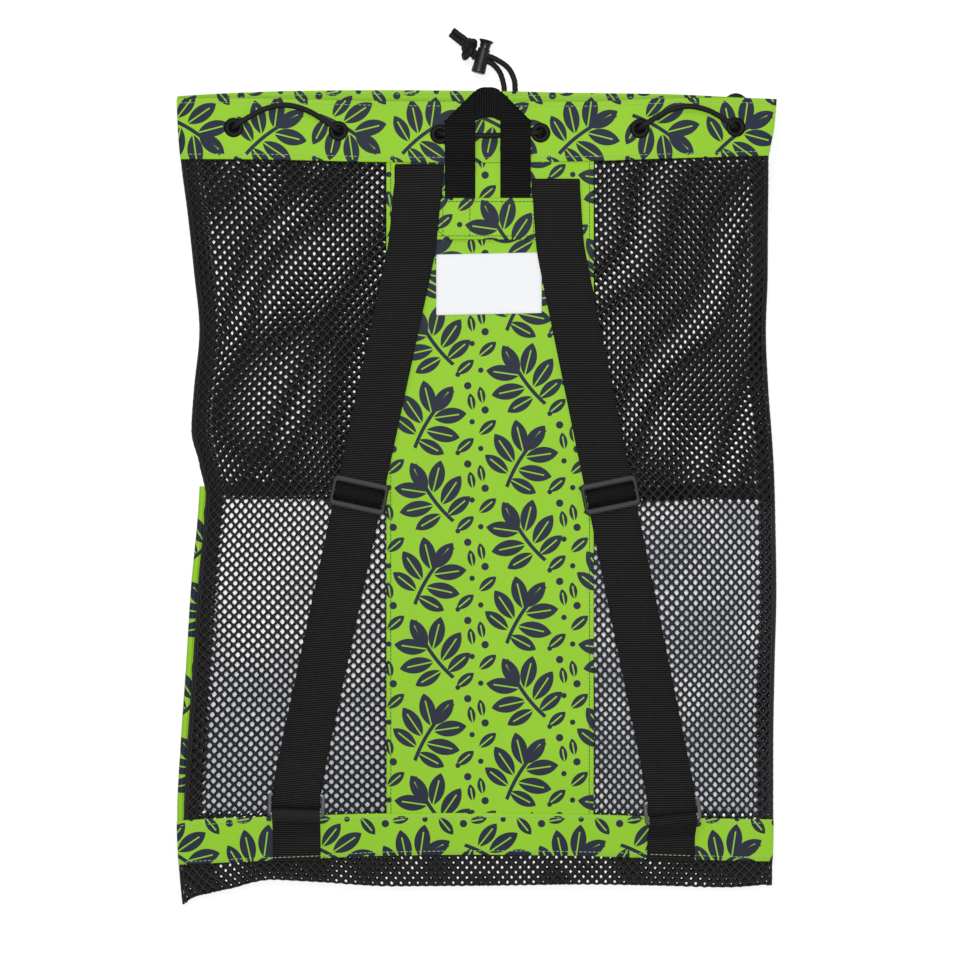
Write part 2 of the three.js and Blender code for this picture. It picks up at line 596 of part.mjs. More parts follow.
function strapStations(strap) {
  const { run, end, middle, heading } = strapPlan(strap);
  const half = STRAP_WIDTH / 2;
  const stations = [];
  const place = (x, y, level, along) => {
    const side = point(-along.y, along.x, 0).multiplyScalar(half);
    const edge = (sign) => {
      const px = x + sign * side.x;
      const py = y + sign * side.y;
      return point(px, py, backZ(px, py) + level);
    };
    stations.push({ a: edge(-1), b: edge(1) });
  };
  const up = point(0, 1, 0);
  const down = (y, level) => place(middle(y), y, level, heading(y).clone().negate());
  const foldRadius = (OVER_PATCH - UNDER_STRAP) / 2;
  const foldY = strap.headY - foldRadius - STRAP_THICK / 2;
  place(strap.underX, PATCH.foot + 2, UNDER_STRAP, up);
  place(strap.underX, foldY - 8, UNDER_STRAP, up);
  for (let k = 0; k <= 4; k += 1) {
    const turn = -Math.PI / 2 + (Math.PI * k) / 4;
    const level = (UNDER_STRAP + OVER_PATCH) / 2 + foldRadius * Math.sin(turn);
    place(mix(strap.underX, strap.headX, k / 4), foldY + foldRadius * Math.cos(turn), level, up);
  }
  const reach = (distance) => SLIDER_Y + distance * run.y;
  const course = [
    { y: PATCH.head + 5, level: OVER_PATCH },
    { y: PATCH.foot - 4, level: OVER_PATCH },
    { y: PATCH.foot - 26, level: MAIN_LEVEL },
    ...[140, 100, 60].map((y) => ({ y, level: MAIN_LEVEL })),
    { y: reach(-SLIDER.length), level: MAIN_LEVEL },
    { y: reach(-SLIDER.ramp), level: MAIN_LEVEL },
    { y: reach(-SLIDER.crest), level: sliderOver },
    { y: reach(SLIDER.crest), level: sliderOver },
    { y: reach(SLIDER.ramp), level: MAIN_LEVEL },
    { y: reach(SLIDER.length), level: MAIN_LEVEL },
    ...[-60, -100, -140, -180, STRAP_END_Y].map((y) => ({ y, level: MAIN_LEVEL })),
    { y: strap.foldY + 9, level: ringLevel + ringTurn },
  ];
  course.forEach(({ y, level }) => down(y, level));
  for (let k = 0; k <= 6; k += 1) {
    const turn = Math.PI / 2 - (Math.PI * k) / 6;
    const x = middle(strap.foldY) + end.x * ringTurn * Math.cos(turn);
    const y = strap.foldY + end.y * ringTurn * Math.cos(turn);
    place(x, y, ringLevel + ringTurn * Math.sin(turn), end);
  }
  for (const y of [STRAP_END_Y, -170, -120, -70, reach(SLIDER.length), reach(SLIDER.bar)]) {
    place(middle(y), y, RETURN_LEVEL, run);
  }
  return stations;
}

// Each station of a strap keeps its left edge on one side all along
function evenSides(stations) {
  let before = null;
  return stations.map(({ a, b }) => {
    const turned = before !== null && a.distanceTo(before) > b.distanceTo(before);
    const kept = turned ? { a: b, b: a } : { a, b };
    before = kept.a;
    return kept;
  });
}

// Tab: up over the bottom band, round the lower bar of the ring and back down
function tabStations(strap) {
  const { end } = strapPlan(strap);
  const bar = ringCentre(strap, RING_BARS / 2);
  const lean = point(-end.y, end.x, 0);
  const straight = point(1, 0, 0);
  const between = straight.clone().lerp(lean, 0.45).normalize();
  const lapX = mix(strap.tabX, bar.x, 0.4);
  const lapY = bar.y - TAB.lap;
  const at = (x, y, level, side) => {
    const edge = (sign) => {
      const px = x + (sign * side.x * STRAP_WIDTH) / 2;
      const py = y + (sign * side.y * STRAP_WIDTH) / 2;
      return point(px, py, backZ(px, py) + level);
    };
    return { a: edge(-1), b: edge(1) };
  };
  const under = BAND_TOP + 1.5 * GAP + STRAP_THICK / 2;
  const over = under + STRAP_THICK + GAP;
  const round = [0, 1, 2, 3, 4, 5, 6].map((k) => {
    const turn = -Math.PI / 2 + (Math.PI * k) / 6;
    const reach = -ringTurn * Math.cos(turn);
    return at(bar.x + end.x * reach, bar.y + end.y * reach, ringLevel + ringTurn * Math.sin(turn), lean);
  });
  return [
    at(strap.tabX, TAB.foot, under, straight),
    at(strap.tabX, TAB.bendY, under, straight),
    at(lapX, lapY, under + TAB.lapLow, between),
    ...round,
    at(lapX, lapY, over + TAB.lapHigh, between),
    at(strap.tabX, TAB.bendY, over, straight),
    at(strap.tabX, TAB.foot, over, straight),
  ];
}

for (const strap of STRAPS) {
  add(`shoulder_strap_${strap.side}`, strip(evenSides(strapStations(strap)), STRAP_THICK), "webbing");

  const { run, end, middle } = strapPlan(strap);
  const lie = (x, y, level, course) => {
    const turn = Math.atan2(course.x, -course.y);
    const reach = STRAP_WIDTH / 2;
    const dx = reach * Math.cos(turn);
    const dy = reach * Math.sin(turn);
    const across = point(2 * dx, 2 * dy, backZ(x + dx, y + dy) - backZ(x - dx, y - dy)).normalize();
    const along = point(-Math.sin(turn), Math.cos(turn), 0).multiplyScalar(SEAT_REACH);
    along.z = (backZ(x + along.x, y + along.y) - backZ(x - along.x, y - along.y)) / 2;
    const normal = across.clone().cross(along).normalize();
    const seat = new THREE.Group();
    seat.position.set(x, y, (backZ(x + dx, y + dy) + backZ(x - dx, y - dy)) / 2 + level);
    const basis = new THREE.Matrix4().makeBasis(across, normal.clone().cross(across), normal);
    seat.quaternion.setFromRotationMatrix(basis);
    group.add(seat);
    return seat;
  };
  const outer = toSolid(frame(SLIDER));
  const bar = box(STRAP_WIDTH + 3, SLIDER.bar, SLIDER.middle, 0, 0, (SLIDER.middle - SLIDER.thick) / 2);
  const sliderSeat = lie(middle(SLIDER_Y), SLIDER_Y, sliderLevel, run);
  add(`slider_${strap.side}`, fromSolid(outer.add(toSolid(bar))), "plastic", sliderSeat);

  const { x, y } = ringCentre(strap, 0);
  add(`ring_${strap.side}`, frame(RING), "plastic", lie(x, y, ringLevel, end));

  add(`strap_tab_${strap.side}`, strip(tabStations(strap), STRAP_THICK), "webbing");
}

// Eyelets: two flanges and a sleeve about the hole in the band
function eyelet() {
  const lip = BAND / 2 + EYELET.play;
  const profile = [
    { r: EYELET.hole, z: -lip - EYELET.lip },
    { r: EYELET.flange, z: -lip - EYELET.lip },
    { r: EYELET.flange, z: -lip },
    { r: EYELET.sleeve, z: -lip },
    { r: EYELET.sleeve, z: lip },
    { r: EYELET.flange, z: lip },
    { r: EYELET.flange, z: lip + EYELET.lip },
    { r: EYELET.hole, z: lip + EYELET.lip },
    { r: EYELET.hole, z: -lip - EYELET.lip },
  ].map(({ r, z }) => new THREE.Vector2(r, z));
  return new THREE.LatheGeometry(profile, 8).rotateX(Math.PI / 2);
}
function setEyelets(side, eyelets, height) {
  eyelets.forEach(({ x, y }, k) => {
    const slopeX = (height(x + 6, y) - height(x - 6, y)) / 12;
    const slopeY = (height(x, y + 6) - height(x, y - 6)) / 12;
    const mesh = add(`eyelet_${side}_${k + 1}`, eyelet(), "eyelet");
    mesh.position.set(x, y, height(x, y));
    mesh.quaternion.setFromUnitVectors(point(0, 0, 1), point(-slopeX, -slopeY, 1).normalize());
  });
}
setEyelets("back", BACK_EYELETS, backBandZ);
setEyelets("front", FRONT_EYELETS, frontBandZ);

// Drawcord: through the eyelets in turn, out and in, with arcs on the outside and one slack loop
const SLACK = [
  { x: 216.5, y: 303 }, { x: 219, y: 313 }, { x: 216, y: 320.8 },
  { x: 210, y: 323.4 }, { x: 204, y: 320.8 }, { x: 200, y: 314 },
  { x: 192, y: 305 }, { x: 175, y: 300.5 }, { x: 150, y: 297.5 },
];
const RUNS = [
  { wall: "front", from: 2, to: 1, out: false, arch: -4 },
  { wall: "front", from: 1, to: 0, out: true, arch: 10 },
  { wall: "back", from: 0, to: 1, out: true, arch: 19 },
  { wall: "back", from: 1, to: 2, out: false, arch: -5 },
  { wall: "back", from: 2, to: 3, out: true, arch: -2 },
  { wall: "back", from: 3, to: 4, out: false, arch: -5 },
  { wall: "back", from: 4, to: 5, out: true, arch: 17 },
  { wall: "front", from: 5, to: 4, out: true, via: SLACK },
  { wall: "front", from: 4, to: 3, out: false, arch: -4 },
];
const SIDE_TURNS = [
  { after: 1, x: -212, inX: -222, low: 284, middle: 290, high: 299 },
  { after: 6, x: 219, inX: 227, low: 285, middle: 291, high: 299 },
];
const WALLS = {
  back: { eyelets: BACK_EYELETS, height: backBandZ, outward: 1 },
  front: { eyelets: FRONT_EYELETS, height: frontBandZ, outward: -1 },
};
const ENTRY = [
  { ahead: 0.8, level: 0.38 },
  { ahead: 2.5, level: 0.95 },
  { ahead: 9, level: 1.08 },
];
const MID_RUN = 1.04;
const BAND_HEAD = 316;
function archCourse(from, to, arch) {
  const length = Math.abs(to.x - from.x);
  const course = [
    ...ENTRY.map(({ ahead, level }) => ({ share: ahead / length, level })),
    ...[0.3, 0.5, 0.7].map((share) => ({ share, level: MID_RUN })),
    ...ENTRY.map(({ ahead, level }) => ({ share: 1 - ahead / length, level })).reverse(),
  ];
  return course.map(({ share, level }) => {
    const y = mix(from.y, to.y, share) + arch * Math.sin(Math.PI * share);
    return { x: mix(from.x, to.x, share), y, level };
  });
}
function slackCourse(from, to, via) {
  const leave = (eyelet, next) => ENTRY.slice(0, 2).map(({ ahead, level }) => {
    const share = ahead / Math.hypot(next.x - eyelet.x, next.y - eyelet.y);
    return { x: mix(eyelet.x, next.x, share), y: mix(eyelet.y, next.y, share), level };
  });
  const loose = via.map(({ x, y }) => ({ x, y, level: MID_RUN }));
  return [...leave(from, via[0]), ...loose, ...leave(to, via.at(-1)).reverse()];
}
function drawcordPoints() {
  const points = [];
  const inside = BAND / 2 + CORD_REACH;
  RUNS.forEach((run, index) => {
    const { eyelets, height, outward } = WALLS[run.wall];
    const from = eyelets[run.from];
    const to = eyelets[run.to];
    const side = (run.out ? outward : -outward) * inside;
    const course = run.via ? slackCourse(from, to, run.via) : archCourse(from, to, run.arch);
    if (index > 0) points.push(point(from.x, from.y, height(from.x, from.y)));
    for (const { x, y, level } of course) {
      points.push(point(x, y, height(x, Math.min(y, BAND_HEAD)) + side * level));
    }
    const turn = SIDE_TURNS.find(({ after }) => after === index);
    if (!turn) return;
    points.push(point(to.x, to.y, height(to.x, to.y)));
    const front = WALLS.front.eyelets[run.wall === "front" ? run.to : 5];
    const back = WALLS.back.eyelets[run.wall === "front" ? 0 : run.to];
    const near = (eyelet, y, z, sign) => {
      const heading = point(turn.x - eyelet.x, y - eyelet.y, 0).normalize();
      const height0 = z(eyelet.x, eyelet.y);
      return ENTRY.slice(0, 2).map(({ ahead, level }) =>
        point(eyelet.x, eyelet.y, height0 + sign * inside * level).addScaledVector(heading, ahead));
    };
    const lowZ = frontBandZ(turn.x, turn.low) + inside;
    const highZ = backBandZ(turn.x, turn.high) - inside;
    const legs = [
      ...near(front, turn.low, frontBandZ, 1),
      point(turn.x, turn.low, lowZ),
      point(turn.inX, turn.middle, (lowZ + highZ) / 2),
      point(turn.x, turn.high, highZ),
      ...near(back, turn.high, backBandZ, -1).reverse(),
    ];
    points.push(...(run.wall === "front" ? legs : legs.reverse()));
  });
  return points;
}
add("drawcord", tube(drawcordPoints(), 6), "cord");

// Cord lock: barrel with a cross hole and a sprung plunger
const lockLean = THREE.MathUtils.degToRad(LOCK.lean);
const lockSeat = new THREE.Group();
lockSeat.position.set(LOCK.x, LOCK.y, LOCK.z);
lockSeat.rotation.z = -lockLean;
group.add(lockSeat);
const rod = (radius, from, to, head = radius) =>
  new THREE.CylinderGeometry(head, radius, to - from, 18).translate(0, (from + to) / 2, 0);
const barrel = toSolid(rod(LOCK.foot, 0, LOCK.length, LOCK.head))
  .subtract(toSolid(rod(PLUNGER.radius + GAP, 2, LOCK.length + 2)))
  .subtract(toSolid(box(20, LOCK_HOLE.length, LOCK_HOLE.height, 0, LOCK_HOLE.y, 0)));
add("cord_lock_barrel", fromSolid(barrel), "plastic", lockSeat);
const slotLength = LOCK_HOLE.length + PLUNGER.press;
const slotY = LOCK_HOLE.y + PLUNGER.press / 2;
const plunger = toSolid(rod(PLUNGER.radius, PLUNGER.foot, PLUNGER.flangeY))
  .add(toSolid(rod(PLUNGER.flange, PLUNGER.flangeY - 0.5, PLUNGER.flangeY + PLUNGER.flangeThick)))
  .subtract(toSolid(box(20, slotLength, LOCK_HOLE.height, 0, slotY, 0)));
add("cord_lock_plunger", fromSolid(plunger), "plastic", lockSeat);

// Loose cord: two tails from the front eyelets through the lock, a knot and two cut ends
const axis = point(Math.sin(lockLean), Math.cos(lockLean), 0);
const beside = point(axis.y, -axis.x, 0);
const inLock = (across, along) =>
  point(LOCK.x, LOCK.y, LOCK.z).addScaledVector(beside, across).addScaledVector(axis, along);
const TAILS = [
  { side: "left", eyelet: 2, seat: -2.2, route: [
    { x: 18.4, y: 305, z: 2.4 }, { x: 22.5, y: 326.4, z: 2.3 },
    { x: 21.4, y: 335.3, z: 2.7 }, { x: 18.2, y: 343.4, z: 4.2 },
  ] },
  { side: "right", eyelet: 3, seat: 2.2, route: [
    { x: 38.6, y: 305, z: 2.4 }, { x: 31.6, y: 326.4, z: 2.3 },
    { x: 30.7, y: 336, z: 2.7 }, { x: 25.6, y: 346, z: 4.2 },
  ] },
];
const TAIL_EXIT = [
  { ahead: 0, rise: 0.2 },
  { ahead: 0.9, rise: -1.4 },
  { ahead: 3.2, rise: -3.7 },
];
for (const { side, eyelet: number, seat, route } of TAILS) {
  const { x, y } = FRONT_EYELETS[number];
  const z = frontBandZ(x, y);
  const points = TAIL_EXIT.map(({ ahead, rise }) => point(x, y + ahead, z + rise));
  points.push(...route.map((step) => point(step.x, step.y, step.z)));
  points.push(...[8, 3, -LOCK.radius - 0.1].map((across) => inLock(across, LOCK_HOLE.y + seat)));
  add(`drawcord_tail_${side}`, tube(points, 8, 2), "cord");
}
const KNOT = { across: -11.2, along: 15.5, half: 5.2, long: 8.6, high: 5.6 };
const knotMiddle = inLock(KNOT.across, KNOT.along);
const knot = add("drawcord_knot", new THREE.SphereGeometry(1, 12, 8), "cord");
knot.scale.set(KNOT.half, KNOT.long, KNOT.high);
knot.rotation.z = -lockLean;
knot.position.set(knotMiddle.x, knotMiddle.y, KNOT.high + 0.4);
const ENDS = [
  { side: "left", from: { across: -17.2, along: 16.5, z: 5 }, to: { across: -29.5, along: 22, z: 3 } },
  { side: "right", from: { across: -15.6, along: 21.2, z: 5 }, to: { across: -28, along: 26.6, z: 3 } },
];
for (const { side, from, to } of ENDS) {
  const start = inLock(from.across, from.along).setZ(from.z);
  const stop = inLock(to.across, to.along).setZ(to.z);
  const half = start.clone().lerp(stop, 0.5);
  add(`drawcord_end_${side}`, tube([start, half, stop], 8, 2), "cord");
}

export default group;
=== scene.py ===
import math
import bpy
import bmesh
import numpy as np
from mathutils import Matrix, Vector
from mathutils.kdtree import KDTree


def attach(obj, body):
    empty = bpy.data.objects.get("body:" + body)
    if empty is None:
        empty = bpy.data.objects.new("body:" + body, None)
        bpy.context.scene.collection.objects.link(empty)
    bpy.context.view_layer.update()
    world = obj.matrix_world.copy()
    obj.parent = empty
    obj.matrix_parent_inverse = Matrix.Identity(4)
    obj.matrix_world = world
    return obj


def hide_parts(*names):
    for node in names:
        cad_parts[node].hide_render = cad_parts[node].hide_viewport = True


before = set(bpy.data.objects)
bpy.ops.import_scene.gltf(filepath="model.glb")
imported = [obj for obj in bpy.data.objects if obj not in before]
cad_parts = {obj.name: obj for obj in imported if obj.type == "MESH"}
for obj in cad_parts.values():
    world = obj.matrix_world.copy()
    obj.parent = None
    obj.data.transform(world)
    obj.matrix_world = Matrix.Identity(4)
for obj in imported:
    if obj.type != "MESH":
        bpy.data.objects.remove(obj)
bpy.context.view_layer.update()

# Plan sizes are in millimetres, as in the part's source; meshes are in metres
MM = 0.001
BODY = "bag"
TAU = 2 * math.pi


def table(columns, *rows):
    return {name: np.array(column, float) for name, column in zip(columns.split(), zip(*rows))}


# Cloth and webbing thickness, gaps and widths
NET, CLOTH, BAND, STRAP_THICK, HANDLE_THICK, GAP = 1.2, 1.0, 1.2, 1.5, 1.2, 0.4
SEAM_LAP, EDGE_IN, STRAP_WIDTH, HANDLE_WIDTH, BAG_WIDTH = 8, 0.6, 38.5, 24.5, 484
PANEL = {"left": -72, "right": 94, "foot": -271, "head": 277}
PATCH = {"left": -58, "right": 77, "foot": 206, "head": 238.4}
LABEL = {"x": 10.1, "y": 170, "width": 84, "height": 48, "tilt": 1.2}

# Height of each layer over the net of the back, at mid thickness or, for a top, at its upper face
OVER_NET = NET / 2 + GAP + CLOTH / 2
PANEL_TOP = OVER_NET + CLOTH / 2
BAND_LEVEL = PANEL_TOP + GAP + BAND / 2
BAND_TOP = BAND_LEVEL + BAND / 2
UNDER_STRAP = PANEL_TOP + GAP + STRAP_THICK / 2
UNDER_HANDLE = PANEL_TOP + GAP + HANDLE_THICK / 2
PATCH_LEVEL = UNDER_STRAP + STRAP_THICK / 2 + GAP + CLOTH / 2
OVER_PATCH = PATCH_LEVEL + CLOTH / 2 + 1.5 * GAP + STRAP_THICK / 2
RETURN_LEVEL = PANEL_TOP + 1.25 * GAP + STRAP_THICK / 2
MAIN_LEVEL = RETURN_LEVEL + STRAP_THICK + GAP
LABEL_LEVEL = PANEL_TOP + GAP + CLOTH / 2
TAB_UNDER = BAND_TOP + 1.5 * GAP + STRAP_THICK / 2
TAB_OVER = TAB_UNDER + STRAP_THICK + GAP

# Side outline, heights along the bag and crossing edges
SIDES = table(
    "y left right",
    (-330, -238.5, 233), (-303, -241, 239.5), (-258, -242.5, 240.5), (-206, -240, 240.5),
    (-141, -235.5, 241.5), (-77, -231.5, 243), (-12, -225.5, 242), (20, -224, 241),
    (52, -231, 239), (85, -229, 236.5), (133, -224.5, 234.5), (182, -229, 236),
    (230, -234, 236), (271, -239, 236), (295, -241, 240), (320, -242, 242.5),
)
HEIGHTS = table(
    "y back front left_seam right_seam",
    (-330, 4.2, 2.4, 4.2, 3.8), (-312, 6.4, 2.4, 4.6, 4.2), (-295, 9.6, 2.4, 5.4, 4.4),
    (-262, 14, 2.4, 7.4, 4.6), (-200, 19, 2.4, 7.4, 4.6), (-5, 22, 2.4, 7.4, 4.6),
    (32, 22.1, 0.8, 4.6, 4.6), (180, 22.5, 0.8, 4.8, 4.8), (225, 22.9, 4.8, 8, 8),
    (256, 23.2, 8.5, 12.6, 12.6), (330, 23.6, 8.6, 14, 14),
)
EDGES = table(
    "x fold foot_low foot_high head_low back_head front_head",
    (-243, -331, -300, -265, 271.5, 319.5, 319.5), (-228, -322, -299, -264, 271.5, 319.5, 321.5),
    (-176, -312, -296, -261, 271, 319, 325), (-130, -314, -294, -259.5, 270, 318, 326.5),
    (-70, -317.5, -291, -257.5, 268.5, 316.5, 327), (10, -317, -290, -257, 268, 316, 326.5),
    (90, -316, -291, -258, 269, 316, 324.8), (150, -317, -293, -260, 271, 318.5, 324),
    (205, -318.5, -295, -262, 273, 319.5, 321.5), (243, -316, -296, -263, 274.5, 319, 319),
)
# Soft folds of the back: middle, direction from +X, reach along and across, height
FOLDS = table(
    "x y turn reach spread height",
    (-196, 218, 52, 46, 13, 2.6), (-150, 168, 48, 55, 14, 3.0), (-188, 92, 38, 50, 14, 2.8),
    (-150, 30, 62, 42, 12, 2.2), (-196, -70, 78, 60, 15, 2.0), (-200, -190, 66, 50, 14, 1.8),
    (190, 214, 132, 52, 13, 3.0), (150, 150, 118, 52, 13, 2.6), (200, 98, 98, 60, 14, 2.8),
    (196, -20, 74, 55, 15, 2.0), (206, -150, 100, 70, 14, 2.0), (12, 92, 6, 40, 16, 0.9),
    (8, -40, 172, 45, 18, 1.0), (14, -170, 8, 45, 18, 0.9),
)
BACK_EYELETS = table(
    "x y", (-195.5, 296), (-111, 293), (-29.4, 290.2), (51.6, 291.4), (131.5, 294.9), (208.9, 296.4))
FRONT_EYELETS = table(
    "x y", (-195, 296), (-110, 295), (16, 294), (42, 294), (131, 295), (209, 296))


def mix(a, b, share):
    return a + (b - a) * share


def shifted(curve, by):
    return lambda *at: curve(*at) + by


def steady(value):
    return lambda v: value + 0 * v


def smooth_through(at, to):
    """Smooth curve through values, with no overshoot between them."""
    rise = np.diff(to) / np.diff(at)
    before, after = np.append(rise[:1], rise), np.append(rise, rise[-1:])
    both = before * after
    slope = np.where(both > 0, 2 * both / np.where(both > 0, before + after, 1), 0)

    def value(v):
        v = np.clip(v, at[0], at[-1])
        i = np.clip(np.searchsorted(at, v) - 1, 0, len(at) - 2)
        span = at[i + 1] - at[i]
        t = (v - at[i]) / span
        level = to[i] * (2 * t**3 - 3 * t**2 + 1) + to[i + 1] * (3 * t**2 - 2 * t**3)
        return level + span * (slope[i] * (t**3 - 2 * t**2 + t) + slope[i + 1] * (t**3 - t**2))

    return value


def follow(rows, key, column):
    return smooth_through(rows[key], rows[column])


left_edge, right_edge = follow(SIDES, "y", "left"), follow(SIDES, "y", "right")
back_crown, front_crown = follow(HEIGHTS, "y", "back"), follow(HEIGHTS, "y", "front")
left_seam, right_seam = follow(HEIGHTS, "y", "left_seam"), follow(HEIGHTS, "y", "right_seam")
fold_edge, foot_low, foot_high, head_low, back_head, front_head = (
    follow(EDGES, "x", name)
    for name in ("fold", "foot_low", "foot_high", "head_low", "back_head", "front_head"))

# Lower left, where the front panel wraps over the edge of the back
WRAP = {"top": 2, "width": 4.6, "radius": 3.1, "fade": 20, "point": 9}


def net_left(y):
    share = np.clip((WRAP["top"] + WRAP["fade"] - y) / WRAP["fade"], 0, 1)
    return left_edge(y) + (WRAP["width"] + 1) * share


def across_share(x, y):
    left, right = net_left(y), right_edge(y)
    return np.clip((2 * x - left - right) / (right - left), -1, 1)


def fold_height(x, y):
    total = 0.0
    for fx, fy, turn, reach, spread, height in zip(*FOLDS.values()):
        c, s = math.cos(math.radians(turn)), math.sin(math.radians(turn))
        along = (x - fx) * c + (y - fy) * s
        across = (y - fy) * c - (x - fx) * s
        total = total + height * np.exp(-((along / reach) ** 2) - (across / spread) ** 2)
    return total


def ripples(seed, wave, count=10):
    """Soft random field of about unit height."""
    rng = np.random.default_rng(seed)
    waves = list(zip(rng.uniform(0, TAU, count), wave * rng.uniform(0.7, 1.6, count),
                     rng.uniform(0, TAU, count)))

    def value(x, y):
        return sum(np.sin(TAU * (x * math.cos(a) + y * math.sin(a)) / length + phase)
                   for a, length, phase in waves) / math.sqrt(count / 2)

    return value


def back_z(x, y):
    share = across_share(x, y)
    seam = np.where(share < 0, left_seam(y), right_seam(y))
    dome = 1 - np.abs(share) ** 4
    return seam + (back_crown(y) - seam) * dome + fold_height(x, y) * np.minimum(1, 3 * dome)


def front_z(x, y):
    share = across_share(x, y)
    seam = np.where(share < 0, left_seam(y), right_seam(y)) - NET - GAP
    return mix(front_crown(y), seam, np.abs(share) ** 12)


back_band_z = shifted(back_z, BAND_LEVEL)


def front_band_z(x, y):
    return front_z(x, y) - NET / 2 - GAP - BAND / 2


# Camera straight above, lights and floor
IMAGE_WIDTH, PIXEL = 970, 0.808
VIEW = {"x": 6.9, "y": 7.7, "lens": 150, "sensor": 36, "plane": 12, "far": 20}
ROOM_LIGHT = 0.12
# Name, place, size and power of each lamp
LAMPS = (
    ("overhead", (0.0, 0.15, 3.9), 0.55, 110),
    ("key", (-0.6, 1.6, 1.9), 1.0, 13),
    ("fill", (1.3, -0.5, 1.9), 1.6, 4),
)
FLOOR = {"reach": 4.0, "low": -0.0003, "glow": 0.42}


def add_object(name, data):
    made = bpy.data.objects.new(name, data)
    bpy.context.collection.objects.link(made)
    return made


def set_camera():
    data = bpy.data.cameras.new("camera")
    data.lens, data.sensor_width, data.sensor_fit = VIEW["lens"], VIEW["sensor"], "HORIZONTAL"
    data.clip_end = VIEW["far"]
    camera = add_object("camera", data)
    distance = IMAGE_WIDTH * PIXEL * VIEW["lens"] / VIEW["sensor"]
    camera.location = (VIEW["x"] * MM, VIEW["y"] * MM, (distance + VIEW["plane"]) * MM)
    bpy.context.scene.camera = camera


def set_lights():
    world = bpy.data.worlds.new("studio")
    world.use_nodes = True
    background = world.node_tree.nodes["Background"]
    background.inputs["Color"].default_value = (1, 1, 1, 1)
    background.inputs["Strength"].default_value = ROOM_LIGHT
    bpy.context.scene.world = world
    for name, place, size, power in LAMPS:
        data = bpy.data.lights.new(name, "AREA")
        data.shape, data.size, data.energy = "DISK", size, power
        lamp = add_object(name, data)
        lamp.location = place
        lamp.rotation_euler = (-Vector(place)).to_track_quat("-Z", "Y").to_euler()
    bpy.context.scene.view_settings.view_transform = "Standard"


# Node helpers
def feed(tree, socket, value):
    """Link a source to a socket, or set its plain value."""
    if isinstance(value, bpy.types.NodeSocket):
        tree.links.new(value, socket)
    else:
        socket.default_value = value


def node(tree, kind, inputs=None, **settings):
    made = tree.nodes.new(kind)
    for key, value in settings.items():
        setattr(made, key, value)
    for key, value in (inputs or {}).items():
        feed(tree, made.inputs[key], value)
    return made


def output(tree, kind, inputs=None, **settings):
    """First output of a new node."""
    return node(tree, kind, inputs, **settings).outputs[0]


def math_node(tree, operation, *values):
    return output(tree, "ShaderNodeMath", dict(enumerate(values)), operation=operation)


def vector_node(tree, operation, *values):
    made = node(tree, "ShaderNodeVectorMath", dict(enumerate(values)), operation=operation)
    return made.outputs["Value" if operation in ("LENGTH", "DISTANCE") else "Vector"]


def scaled(tree, vector, share):
    return output(tree, "ShaderNodeVectorMath", {0: vector, "Scale": share}, operation="SCALE")


def xyz(tree, vector):
    return node(tree, "ShaderNodeSeparateXYZ", {0: vector}).outputs


def vector_of(tree, **parts):
    return output(tree, "ShaderNodeCombineXYZ", parts)


def ranged(tree, value, low=0.0, high=1.0, start=0.0, stop=1.0):
    """Value brought from start and stop to low and high."""
    return output(tree, "ShaderNodeMapRange", {
        "Value": value, "From Min": start, "From Max": stop, "To Min": low, "To Max": high})


def point_value(tree, name):
    return node(tree, "ShaderNodeAttribute", attribute_name=name).outputs["Fac"]


def new_group(name, kind, inputs, outputs):
    tree = bpy.data.node_groups.new(name, kind)
    for socket, in_out in [(s, "INPUT") for s in inputs] + [(s, "OUTPUT") for s in outputs]:
        tree.interface.new_socket(socket[0], in_out=in_out, socket_type="NodeSocket" + socket[1])
        if len(socket) > 2:
            tree.interface.items_tree[-1].default_value = socket[2]
    return tree, tree.nodes.new("NodeGroupInput"), tree.nodes.new("NodeGroupOutput")


def place_group(tree, group, **inputs):
    made = node(tree, "ShaderNodeGroup", node_tree=group)
    for key, value in inputs.items():
        feed(tree, made.inputs[key.replace("_", " ")], value)
    return made.outputs


# Shader groups shared by the finishes
def weave_group():
    """Plain weave of warp and weft: height of the yarns at a place on the cloth."""
    tree, start, end = new_group(
        "plain_weave", "ShaderNodeTree", [("Flat", "Vector"), ("Pitch", "Float", 0.5)],
        [("Height", "Float")])
    turns = math_node(tree, "DIVIDE", math.pi, start.outputs["Pitch"])
    yarns = xyz(tree, scaled(tree, start.outputs["Flat"], turns))
    warp = math_node(tree, "ABSOLUTE", math_node(tree, "SINE", yarns["X"]))
    weft = math_node(tree, "ABSOLUTE", math_node(tree, "SINE", yarns["Y"]))
    over = math_node(tree, "SINE", math_node(tree, "ADD", yarns["X"], yarns["Y"]))
    lift = math_node(tree, "MULTIPLY_ADD", over, 0.25, 0.5)
    tree.links.new(math_node(tree, "MULTIPLY", math_node(tree, "MAXIMUM", warp, weft), lift),
                   end.inputs["Height"])
    return tree


